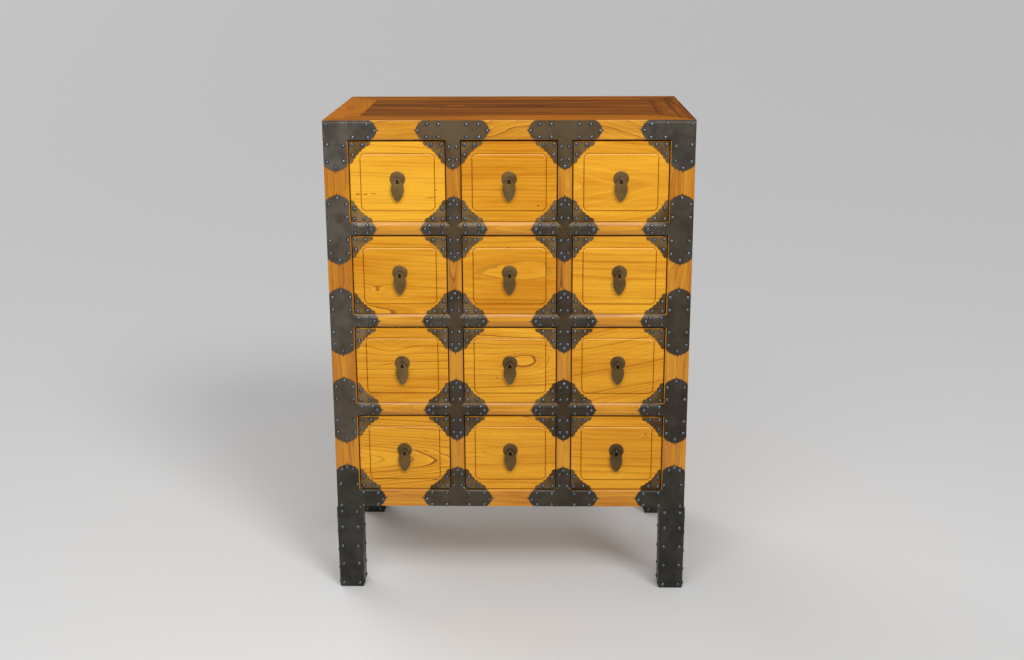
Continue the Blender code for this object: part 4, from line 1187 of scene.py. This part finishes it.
stations = wide_end((0, bar_middle), (-1, 0), bar_half, TOP_TEE_REACH)
stations += wide_end((0, bar_middle), (1, 0), bar_half, TOP_TEE_REACH)
stations += [((stem_half, bar_high), 0)]
stations += narrow_end((0, 0), (0, 1), stem_half, BOTTOM_TEE_STEM)
stations += [((-stem_half, bar_high), 0)]
stem_cuts = [("x", steps_between(-stem_half, stem_half)[1:-1] + [-0.018, 0.018]),
             ("z", steps_between(0, BEND_LENGTH) + CURL_LEVELS)]
tee_shape = press_sheet(stations, stem_cuts, bottom_tee_depth)
for number, x in enumerate(DIVIDER_PLACES, 1):
    mount_plate("bottom_tee", number, tee_shape, (x, FRONT, RAIL_TOP), BOTTOM_TEE_NAILS, bottom_tee_depth,
                patina=0.40, glow=0.20)
print("A bottom tee has", len(tee_shape.faces), "faces")

# %% Corner plates of the bottom rail
BOTTOM_CORNER_NAILS = [
    (22.3, 48.7), (11.9, 42.7), (33, 43.3), (8.5, 11.2), (41.9, 11.2), (53.4, -5.7), (83.4, -7.6),
    (92.7, -20.7), (82.6, -32.4), (52.3, -33.5), (8.2, -34.3),
]
CORNER_FADE = 0.006


def bottom_corner_depth(x, z):
    return rolled(z) * ease((x - post_inner) / CORNER_FADE)


stations = [((edge, -BOTTOM_RAIL - LEG_SEAM), 0), ((post_inner, -BOTTOM_RAIL - LEG_SEAM), 0)]
stations += [((post_inner, bar_low), 0)] + wide_end((0, bar_middle), (1, 0), bar_half, BOTTOM_ARM)
stations += [((post_inner, bar_high), 0)]
stations += wide_end((post_middle, 0), (0, 1), post_half, BOTTOM_RISE)
curl_cuts = [("x", [post_inner + CORNER_FADE / 2, post_inner + CORNER_FADE]), ("z", CURL_LEVELS)]
corner_shape = press_sheet(stations, curl_cuts, bottom_corner_depth)
# The bottom corner plates take the darker leg iron as painted shade low on the chest
for side, sign in SIDES:
    place = (sign * HALF_WIDTH, FRONT, RAIL_TOP)
    mount_plate("bottom_corner", side, corner_shape, place, BOTTOM_CORNER_NAILS, bottom_corner_depth,
                mirrored=sign > 0, patina=0.15, material=leg_iron)
print("A bottom corner plate has", len(corner_shape.faces), "faces")

# %% [markdown]
# ## Leg sleeves
# Each leg stands in a sleeve of sheet, folded round its four faces and hammered in a little at the foot. A
# tube is a square whose corners are rounded, pushed up, opened at both ends and given its thickness inwards.

# %% Leg sleeves
FOOT_BARE, FLANGE = 0.0002, 0.014
SLEEVE_SHEET = 0.0008
SLEEVE_HALF = POST / 2 + SEAT + SLEEVE_SHEET
SLEEVE_ROUND, FOOT_TUCK, FOOT_NARROWING = 0.0024, 0.0050, 0.0016
SLEEVE_TOP = LEG_HEIGHT - LEG_SEAM - SEAT
SLEEVE_ROWS = (0.166, 0.1325, 0.091, 0.0515, 0.0085)
SLEEVE_COLUMN, ROW_STAGGER, SLEEVE_SCATTER = 0.0155, 0.012, 0.0004


def rounded_square(half_x, half_y, radius, steps):
    """One face round the origin, whose corners are bevelled round."""
    bm = bmesh.new()
    bmesh.ops.create_grid(bm, x_segments=1, y_segments=1, size=1)
    bmesh.ops.scale(bm, vec=(half_x, half_y, 1), verts=bm.verts)
    bmesh.ops.bevel(bm, geom=list(bm.verts), offset=radius, segments=steps, profile=0.5,
                    affect="VERTICES", material=-1)
    return bm


def leg_sleeve(centre):
    bm = rounded_square(SLEEVE_HALF, SLEEVE_HALF, SLEEVE_ROUND, 3)
    foot_ring = list(bm.verts)
    move(bm, (0, 0, FOOT_BARE))
    for level in (FOOT_BARE + FOOT_TUCK, SLEEVE_TOP):
        grown = bmesh.ops.extrude_edge_only(bm, edges=[joined for joined in bm.edges if joined.is_boundary])
        ring = [item for item in grown["geom"] if isinstance(item, bmesh.types.BMVert)]
        for vert in ring:
            vert.co.z = level
        for face in [face for face in bm.faces if len(face.verts) > 4]:
            bm.faces.remove(face)
            break
    tuck = 1 - FOOT_NARROWING / (2 * SLEEVE_HALF)
    bmesh.ops.scale(bm, vec=(tuck, tuck, 1), verts=foot_ring)
    bmesh.ops.recalc_face_normals(bm, faces=bm.faces)
    bmesh.ops.solidify(bm, geom=list(bm.faces), thickness=SLEEVE_SHEET)
    bmesh.ops.recalc_face_normals(bm, faces=bm.faces)
    move(bm, centre)
    return bm


def sleeve_spots(centre):
    """Nails in two columns on each face of a leg. On the two side faces they sit lower, to miss the rest."""
    spots = []
    for quarter in range(4):
        around = Matrix.Rotation(quarter * math.pi / 2, 3, "Z")
        for number, level in enumerate(SLEEVE_ROWS):
            staggered = quarter % 2 and number < len(SLEEVE_ROWS) - 1
            for column in (-SLEEVE_COLUMN, SLEEVE_COLUMN):
                height = level - (ROW_STAGGER if staggered else 0) + draw.gauss(0, SLEEVE_SCATTER)
                local = Vector((column + draw.gauss(0, SLEEVE_SCATTER), -SLEEVE_HALF, 0))
                place = centre + around @ local + Vector((0, 0, height))
                spots.append((place, around @ Vector(FORWARDS)))
    return spots


for side, sign in SIDES:
    for face, near_y in (("front", FRONT), ("back", BACK - POST)):
        centre = Vector((sign * (HALF_WIDTH - POST / 2), near_y + POST / 2, 0))
        node = f"front_leg_iron_{side}" if face == "front" else f"back_leg_sleeve_{side}"
        bm = leg_sleeve(centre)
        finish_piece(bm, f"{face}_{side}_leg_sleeve", leg_iron, stands_for=[node], smooth_degrees=40)
        drive_nails(f"nails_{face}_{side}_leg", sleeve_spots(centre))
    flange_end = HALF_WIDTH - BOTTOM_ARM + WIDE_END + NIPPLE
    low_x, high_x = sorted((sign * (POST_INNER - SEAT), sign * flange_end))
    flange_top = LEG_HEIGHT - SEAT
    bm = bmesh.new()
    add_block(bm, (low_x, FRONT - SEAT, flange_top - SHEET), (high_x, FRONT + FLANGE, flange_top))
    soften(bm, bm.edges, RIM, 1)
    finish_piece(bm, f"rail_flange_{side}", leg_iron)
print("Nails on each face of a leg:", 2 * len(SLEEVE_ROWS))

# %% [markdown]
# ## Drawer fronts
# A front is a board with a shallow V groove round a raised field with rounded corners. The field starts as
# one square face: its corners are bevelled round, and insets cut the groove and lift the field. The margin
# is filled between the groove and the board's outline, and the whole face is pushed back to the board's
# thickness. A Boolean could cut the groove, but insets give clean rings of faces that hold the stain.

# %% Drawer front
OPENING_WIDTH = COLUMN_PITCH - DIVIDER
FACE = FRONT + 0.004
DRAWER_WIDTH, DRAWER_HEIGHT, DRAWER_FRONT = OPENING_WIDTH - 0.003, 0.153, 0.018
DRAWER_LIFT = 0.0005
FIELD_MARGIN, FIELD_CORNER, FIELD_RISE = 0.020, 0.0095, 0.001
# The margins above and below the field, in each row: they were ruled by hand and differ a little
ROW_MARGINS = {1: (0.0230, 0.0210), 2: (0.0212, 0.0200), 3: (0.0200, 0.0200), 4: (0.0205, 0.0200)}
GROOVE_WIDTH, GROOVE_DEPTH = 0.0022, 0.0013
# The insets of the groove and of the field's rim: how far each reaches inwards, and how far it rises
FIELD_INSETS = [
    (GROOVE_WIDTH / 2, -GROOVE_DEPTH), (GROOVE_WIDTH / 2, GROOVE_DEPTH + 0.55 * FIELD_RISE),
    (0.0008, 0.35 * FIELD_RISE), (0.0012, 0.10 * FIELD_RISE),
]
FRONT_ARRIS = 0.0013
FIGURE_PITCH = 0.004


def drawer_front_shape(above, below):
    """A front round its middle, its face at y = 0, with the given margins above and below the field."""
    half_x, half_z = DRAWER_WIDTH / 2, DRAWER_HEIGHT / 2
    grown = GROOVE_WIDTH / 2
    field_x, field_z = half_x - FIELD_MARGIN + grown, half_z - (above + below) / 2 + grown
    bm = rounded_square(field_x, field_z, FIELD_CORNER + grown, 7)
    turn_by(bm, 90, "X")
    bmesh.ops.recalc_face_normals(bm, faces=bm.faces)
    move(bm, (0, 0, (below - above) / 2))
    bm.faces.ensure_lookup_table()
    face = bm.faces[0]
    if face.normal.y > 0:
        bmesh.ops.reverse_faces(bm, faces=[face])
    for thickness, depth in FIELD_INSETS:
        bmesh.ops.inset_individual(bm, faces=[face], thickness=thickness, depth=depth, use_even_offset=True)
    rim = [joined for joined in bm.edges if joined.is_boundary]
    corners = [bm.verts.new((sign_x * half_x, 0, sign_z * half_z)) for sign_x, sign_z in
               ((-1, -1), (1, -1), (1, 1), (-1, 1))]
    outline = [bm.edges.new((corners[number - 1], corners[number])) for number in range(4)]
    bmesh.ops.triangle_fill(bm, edges=rim + outline, use_beauty=True)
    bmesh.ops.recalc_face_normals(bm, faces=bm.faces)
    outer = [joined for joined in bm.edges if joined.is_boundary]
    grown = bmesh.ops.extrude_edge_only(bm, edges=outer)
    moved = [item for item in grown["geom"] if isinstance(item, bmesh.types.BMVert)]
    bmesh.ops.translate(bm, vec=(0, DRAWER_FRONT, 0), verts=moved)
    bmesh.ops.edgeloop_fill(bm, edges=[joined for joined in bm.edges if joined.is_boundary])
    bmesh.ops.recalc_face_normals(bm, faces=bm.faces)
    on_face = [joined for joined in bm.edges if all(near(vert.co.y, 0) for vert in joined.verts)
               and joined.calc_face_angle(0) > 1]
    soften(bm, on_face, FRONT_ARRIS, 3)
    slice_up(bm, Vector((1, 0, 0)), -half_x, half_x, FIGURE_PITCH)
    slice_up(bm, Vector((0, 0, 1)), -half_z, half_z, FIGURE_PITCH)
    return bm


front_shapes = {row: drawer_front_shape(*margins) for row, margins in ROW_MARGINS.items()}
print("A drawer front has", len(front_shapes[1].faces), "faces")

# %% [markdown]
# ## Drawer boxes
# Behind each front is an open box of pale unfinished wood: two sides, a back and a bottom.

# %% Drawer box
BOX_INSET, BOX_SIDE, BOX_BOTTOM, BOX_HEADROOM = 0.0012, 0.010, 0.007, 0.014
WALL_INNER_BACK, DRAWER_BACK_ROOM = BACK - WALL, 0.014
DRAWER_DEPTH = WALL_INNER_BACK - DRAWER_BACK_ROOM - FACE


def build_box(place, body, name):
    half = DRAWER_WIDTH / 2 - BOX_INSET
    inner = half - BOX_SIDE
    back = DRAWER_DEPTH - BOX_SIDE
    top = DRAWER_HEIGHT - BOX_HEADROOM
    foot = SEAT - DRAWER_LIFT
    bm = bmesh.new()
    # Each board's two corners, the way its grain runs, and the way its outer face looks
    boards = [
        ((-half, DRAWER_FRONT, foot), (-inner, DRAWER_DEPTH, top), BACKWARDS, LEFTWARDS),
        ((inner, DRAWER_FRONT, foot), (half, DRAWER_DEPTH, top), BACKWARDS, RIGHTWARDS),
        ((-inner, back, foot), (inner, DRAWER_DEPTH, top), RIGHTWARDS, BACKWARDS),
        ((-inner, DRAWER_FRONT, foot), (inner, back, BOX_BOTTOM), BACKWARDS, UP),
    ]
    for low, high, along, out in boards:
        heart = (draw.uniform(-0.04, 0.04), draw.uniform(0.04, 0.10))
        tone = draw.uniform(-0.1, 0.3)
        add_board(bm, Vector(low) + place, Vector(high) + place, along, out, THIN_EDGE,
                  heart=heart, coarse=1.1, tone=tone)
    finish_piece(bm, name, box_wood, body)


# %% [markdown]
# ## Plates and pulls of the drawers
# Each corner of a front has a scalloped plate of brownish iron with three nails. The pull is a round rose, a
# bent wire eye that goes through it, and a leaf that hangs in the eye. The leaf swings on its own joint, so
# it is a piece of its own that rides on its own body.

# %% Corner plate, rose, eye and leaf
DRAWER_PLATE, PLATE_WIDTH, PLATE_HEIGHT, PLATE_TIP = 0.0009, 0.040, 0.041, 0.003
PLATE_INSET, PLATE_INSET_ABOVE = 0.0003, 0.0006
PLATE_LOBES, PLATE_SWELL, PLATE_HOLLOW = 6, 0.0017, 0.0065
ROSE_RADIUS, ROSE, PULL_ABOVE_MIDDLE = 0.01475, 0.0015, 0.006
EYE_RADIUS, EYE_WIRE, EYE_STAND_OFF = 0.0042, 0.0012, 0.0045
EYE_FORWARD = EYE_STAND_OFF + ROSE + FIELD_RISE
# Above this height the eye's wire keeps the bright crown colour; below it the wire is painted shade
EYE_UPPER_RISE, EYE_SHADE_LEVEL = 0.9, 0.001
LEAF_LENGTH, LEAF_HALF_WIDTH, LEAF = 0.0445, 0.0121, 0.002
LEAF_PLAY, LEAF_HOLE = 0.0005, 0.0033
LEAF_TOP = EYE_RADIUS - EYE_WIRE - LEAF_PLAY
LEAF_SWELL, LEAF_EDGE = 0.0003, 0.0005
# The stations that are reached by a bulging line, not by a straight one
LEAF_BULGES = (1, 2, 4, 5, 6, 7, 8)
LEAF_OUTLINE_SHARES = [
    (0.30, 0.010), (0.58, 0.130), (0.86, 0.245), (0.89, 0.290), (1.00, 0.480), (0.93, 0.630),
    (0.70, 0.800), (0.34, 0.955), (0.14, 1.000),
]


def corner_plate_shape():
    """The plate on the upper right corner, around the front's centre."""
    corner_x, corner_z = DRAWER_WIDTH / 2 - PLATE_INSET, DRAWER_HEIGHT / 2 - PLATE_INSET_ABOVE
    start = Vector((corner_x - PLATE_WIDTH, corner_z - PLATE_TIP))
    end = Vector((corner_x - PLATE_TIP, corner_z - PLATE_HEIGHT))
    stations = [((corner_x, corner_z), 0), ((corner_x - PLATE_WIDTH, corner_z), 0), (start, 0)]
    bend = (start + end) / 2 + Vector((PLATE_HOLLOW, PLATE_HOLLOW))
    stations += scallops(start, bend, end, PLATE_LOBES, PLATE_SWELL)
    stations += [((corner_x, corner_z - PLATE_HEIGHT), 0)]
    return press_sheet(stations, thick=DRAWER_PLATE, level=0.0)


def spin_round(bm, axis, steps):
    """Spins everything by one full turn about an axis, and closes the shape where the turn ends."""
    bmesh.ops.spin(bm, geom=[*bm.verts, *bm.edges], cent=(0, 0, 0), axis=axis, dvec=(0, 0, 0),
                   angle=math.tau, steps=steps, use_merge=True, use_duplicate=False)
    bmesh.ops.remove_doubles(bm, verts=bm.verts, dist=1e-6)
    bmesh.ops.recalc_face_normals(bm, faces=bm.faces)


def rose_shape():
    """A disc with a worn rim: its profile in X and Y, spun about the Y axis."""
    bm = bmesh.new()
    profile = [(0, 0), (ROSE_RADIUS, 0), (ROSE_RADIUS, -0.0009), (ROSE_RADIUS - 0.0004, -0.0013),
               (ROSE_RADIUS - 0.0012, -ROSE), (0, -ROSE)]
    verts = [bm.verts.new((x, y, 0)) for x, y in profile]
    for pair in zip(verts, verts[1:]):
        bm.edges.new(pair)
    spin_round(bm, BACKWARDS, 32)
    return bm


def eye_shape():
    """A ring of wire, bright above and painted shade below, which the nail finish reads from its height
    attribute.
    """
    bm = bmesh.new()
    rise = bm.verts.layers.float.new("rise")
    bmesh.ops.create_circle(bm, segments=10, radius=EYE_WIRE, cap_ends=False)
    turn_by(bm, 90, "Y")
    turn_by(bm, 90, "Z")
    move(bm, (0, 0, EYE_RADIUS))
    spin_round(bm, RIGHTWARDS, 24)
    for vert in bm.verts:
        vert[rise] = EYE_UPPER_RISE if vert.co.z > EYE_SHADE_LEVEL else 0.0
    return bm


def leaf_shape():
    """A leaf that hangs from the origin, with its hole: half an outline, and back on the other side."""
    half = [(LEAF_HALF_WIDTH * across, LEAF_TOP - LEAF_LENGTH * down) for across, down in LEAF_OUTLINE_SHARES]
    stations = [(point, -LEAF_SWELL if number in LEAF_BULGES else 0) for number, point in enumerate(half)]
    stations += [((-x, z), -LEAF_SWELL if len(half) - number in LEAF_BULGES else 0)
                 for number, (x, z) in enumerate(reversed(half))]
    bm = draw_outline(stations)
    bmesh.ops.delete(bm, geom=list(bm.faces), context="FACES_ONLY")
    hole = bmesh.ops.create_circle(bm, segments=18, radius=LEAF_HOLE, cap_ends=False)
    bmesh.ops.rotate(bm, cent=(0, 0, 0), matrix=Matrix.Rotation(math.pi / 2, 3, "X"), verts=hole["verts"])
    bmesh.ops.translate(bm, vec=(0, 0, -LEAF_TOP - LEAF_HOLE), verts=hole["verts"])
    bmesh.ops.triangle_fill(bm, edges=list(bm.edges), use_beauty=True)
    move(bm, (0, LEAF / 2, 0))
    fronts = set(push_out(bm, (0, -LEAF, 0)))
    soften(bm, sharp_rim(bm, fronts), LEAF_EDGE)
    return bm


plate_shape = corner_plate_shape()
rose = rose_shape()
eye = eye_shape()
leaf = leaf_shape()
print("Leaf faces", len(leaf.faces), "eye faces", len(eye.faces), "rose faces", len(rose.faces))

# %% [markdown]
# ## Twelve different boards
# No two fronts are cut alike, so each has its own figure. The heart of the tree is given sideways and behind
# the board: far to the side makes straight lines, close behind makes broad arches. A swirl lifts or sinks
# the rings around a point, in numbers of rings, and closes them into eyes. Small knots and cracks have
# filled with dark lacquer: each is a thin sliver laid on the face. All places are in millimetres from the
# middle of the front. The figures follow the photograph board by board.

# %% Figures of the fronts
FIGURES = {
    "row1_left": {"heart": (0.110, 0.030), "tone": -0.27, "vivid": 0.8,
                  "slivers": [(-76, -23, 12, 2.0, 5), (-61, -23, 9, 2.0, 12), (-46, -22, 14, 1.2, -4),
                              (70, -14, 15, 1.4, -20), (62, -30, 22, 1.2, 9)]},
    "row1_middle": {"heart": (-0.120, 0.030), "tone": 0.25, "vivid": 0.7,
                    "swirls": [(55, -45, 9, 7, 1.0)], "slivers": [(55, -45, 4.5, 2.2, 20)]},
    "row1_right": {"heart": (-0.005, 0.045), "tone": 0.0, "vivid": 0.9, "slope": 0.12,
                   "slivers": [(29, -4, 6, 0.9, 40), (33, -4, 6, 0.9, -40)]},
    "row2_left": {"heart": (-0.075, 0.030), "tone": 0.22, "vivid": 1.3, "slope": 0.09,
                  "swirls": [(-46, -34, 22, 11, 2.2)]},
    "row2_middle": {"heart": (0.004, 0.070), "tone": 0.30, "vivid": 0.9, "slivers": [(-2, 55, 5, 2.0, 0)]},
    "row2_right": {"heart": (0.115, 0.030), "tone": -0.10, "vivid": 0.9,
                   "slivers": [(70, 6, 3, 2.0, 0), (-50, -20, 4, 0.8, 10)]},
    "row3_left": {"heart": (-0.060, 0.030), "tone": 0.15, "vivid": 1.6, "slope": 0.04,
                  "swirls": [(-22, 42, 32, 18, 2.2)], "slivers": [(-25, 4, 70, 0.9, 7)]},
    "row3_middle": {"heart": (0.008, 0.036), "tone": 0.0, "vivid": 2.6, "slope": 0.05,
                    "swirls": [(33, 11, 46, 31, -1.6)],
                    "slivers": [(10, 25, 5, 1.6, 60), (-25, -24, 6, 1.6, -20), (24, -17, 4, 1.2, 70)]},
    "row3_right": {"heart": (-0.110, 0.040), "tone": 0.16, "vivid": 1.5, "slope": -0.15},
    "row4_left": {"heart": (-0.017, 0.030), "tone": -0.02, "vivid": 2.2, "slope": 0.115,
                  "slivers": [(40, 4, 5, 0.9, 45), (44, 4, 5, 0.9, -45)]},
    "row4_middle": {"heart": (0.100, 0.040), "tone": 0.10, "vivid": 1.3,
                    "swirls": [(-62, 6, 17, 12, 1.6)], "slivers": [(-23, -56, 11, 1.3, 84)]},
    "row4_right": {"heart": (0.070, 0.050), "tone": 0.18, "vivid": 0.8, "swirls": [(58, 42, 11, 9, 1.2)],
                   "slivers": [(-36, -55, 8, 1.2, 78), (58, 42, 5, 2.4, 10)]},
}
SLIVER_LIFT, SLIVER_STAIN = 0.00006, 0.85
FIELD_HALF_WIDTH, FIELD_HALF_HEIGHT = 70, 54


def join_into(target, shape):
    mesh = bpy.data.meshes.new("part")
    shape.to_mesh(mesh)
    shape.free()
    target.from_mesh(mesh)
    bpy.data.meshes.remove(mesh)


def lift_of(middle, figure):
    """How much older the wood is at a point than its place in the tree says, in metres of rings."""
    def lift(point):
        x, z = (point.x - middle.x) * 1000, (point.z - middle.z) * 1000
        older = figure.get("slope", 0) * x / 1000
        for swirl_x, swirl_z, width, height, rings in figure.get("swirls", ()):
            older += RING * rings * math.exp(-((x - swirl_x) / width) ** 2 - ((z - swirl_z) / height) ** 2)
        return older
    return lift


def add_slivers(bm, middle, slivers):
    """Each sliver of lacquer has a place, a length, a width and a tilt."""
    for x, z, length, width, degrees in slivers:
        half, swell = length / 2000, width / 2000
        sliver = draw_outline([((-half, 0), 0), ((half, 0), swell), ((-half, 0), swell)])
        on_field = abs(x) < FIELD_HALF_WIDTH and abs(z) < FIELD_HALF_HEIGHT
        level = -SLIVER_LIFT - (FIELD_RISE if on_field else 0)
        turn_by(sliver, -degrees, "Y")
        move(sliver, middle + Vector((x / 1000, level, z / 1000)))
        lay_grain(sliver, RIGHTWARDS, FORWARDS, stain_and_painted_light=lambda point: SLIVER_STAIN)
        join_into(bm, sliver)


print("Figures for", len(FIGURES), "fronts")

# %% Stains, painted shade and painted highlight of a front
# Dark lacquer fills the groove. The edge value is dark lacquer with painted shade of the gaps, the gap value
# is painted shade on faces hidden in the gaps, and the upper groove's lower value is painted light, as lit
# from above.
EDGE_STAIN_AND_SHADE, GROOVE_STAIN, LIT_UPPER_GROOVE_STAIN, GAP_SHADE = 0.85, 0.78, 0.42, 0.95
# The rim value below zero paints a highlight along the field's upper rim
RIM_HIGHLIGHT = -0.27
ARRIS_REACH = 1.1 * FRONT_ARRIS
# The field's rim lies between these two depths, above the level of the margin
RIM_BACK, RIM_FRONT = -0.5 * FIELD_RISE, -0.95 * FIELD_RISE


def stain_and_painted_light_of(middle, margin_above):
    """Dark lacquer in the groove, edges dark with lacquer and painted shade, painted shade on faces hidden in
    the gaps, a lighter upper groove as painted light, and a painted highlight on the field's upper rim.
    """
    rim_foot = DRAWER_HEIGHT / 2 - margin_above - FIELD_CORNER

    def stain_and_painted_light(point):
        local = point - middle
        if RIM_FRONT < local.y < RIM_BACK and local.z > rim_foot:
            return RIM_HIGHLIGHT
        beside = abs(local.x) > DRAWER_WIDTH / 2 - ARRIS_REACH
        beneath = local.z < ARRIS_REACH - DRAWER_HEIGHT / 2
        above = local.z > DRAWER_HEIGHT / 2 - ARRIS_REACH
        if local.y > 2 * FRONT_ARRIS:
            return GAP_SHADE
        if local.y > 0.2 * FRONT_ARRIS and (beside or beneath):
            return EDGE_STAIN_AND_SHADE
        if local.y > 0.5 * GROOVE_DEPTH and not above:
            return LIT_UPPER_GROOVE_STAIN if local.z > rim_foot else GROOVE_STAIN
        return 0.0
    return stain_and_painted_light


print("Stain in the groove", GROOVE_STAIN, "and on the edges", EDGE_STAIN_AND_SHADE)

# %% Drawers
PLATE_NAILS = [(5.5, 5.0), (24.5, 5.5), (6.0, 24.5)]
COLUMN_NAMES = ["left", "middle", "right"]
# How soon the painted shade starts on the corner plates and on the pulls
PLATE_SHADE_START, PULL_SHADE_START = 0.14, 0.10


def place_copy(shape, place, mirrored=(1, 1)):
    """A copy of a shape at a place, mirrored sideways or upwards where that sign is below zero."""
    bm = shape.copy()
    if mirrored != (1, 1):
        bmesh.ops.scale(bm, vec=(mirrored[0], 1, mirrored[1]), verts=bm.verts)
        if mirrored[0] * mirrored[1] < 0:
            bmesh.ops.reverse_faces(bm, faces=bm.faces)
    move(bm, place)
    return bm


for row in range(1, ROWS + 1):
    for column, column_name in enumerate(COLUMN_NAMES):
        name = f"row{row}_{column_name}"
        body = f"drawer_{name}"
        foot = Vector(((column - 1) * COLUMN_PITCH, FACE, RAIL_TOP + (ROWS - row) * ROW_PITCH + DRAWER_LIFT))
        middle = foot + Vector((0, 0, DRAWER_HEIGHT / 2))
        figure = FIGURES[name]
        bm = place_copy(front_shapes[row], middle)
        lay_grain(bm, RIGHTWARDS, FORWARDS, figure["heart"], tone=figure["tone"], vivid=figure["vivid"],
                  lift=lift_of(middle, figure), stain_and_painted_light=stain_and_painted_light_of(middle, ROW_MARGINS[row][0]))
        add_slivers(bm, middle, figure.get("slivers", ()))
        finish_piece(bm, f"front_{name}", drawer_wood, body, [body])
        build_box(foot, body, f"box_{name}")
        bm = bmesh.new()
        spots = []
        for sign_x in (-1, 1):
            for sign_z in (-1, 1):
                join_into(bm, place_copy(plate_shape, middle, (sign_x, sign_z)))
                for inwards, down in PLATE_NAILS:
                    x = sign_x * (DRAWER_WIDTH / 2 - PLATE_INSET - inwards / 1000)
                    z = sign_z * (DRAWER_HEIGHT / 2 - PLATE_INSET_ABOVE - down / 1000)
                    spots.append((middle + Vector((x, -DRAWER_PLATE, z)), Vector((0, -1, 0))))
        # Painted shade on the corner plates, darker towards the lower right
        dull(bm, PLATE_SHADE_START)
        finish_piece(bm, f"corners_{name}", brown_iron, body, smooth_degrees=25)
        drive_nails(f"nails_{name}", spots, body)
        # The rose and the leaf get painted shade too
        pull = middle + Vector((0, -FIELD_RISE, PULL_ABOVE_MIDDLE))
        bm = place_copy(rose, pull)
        dull(bm, PULL_SHADE_START)
        finish_piece(bm, f"rose_{name}", leaf_iron, body, smooth_degrees=35)
        hinge = middle + Vector((0, -EYE_FORWARD, PULL_ABOVE_MIDDLE))
        finish_piece(place_copy(eye, hinge), f"eye_{name}", nail_iron, body, smooth_degrees=50)
        drop = f"drop_{name}"
        bm = place_copy(leaf, hinge)
        dull(bm, PULL_SHADE_START)
        finish_piece(bm, f"leaf_{name}", leaf_iron, drop, [drop], 30)
print("Drawers:", ROWS * len(COLUMN_NAMES))
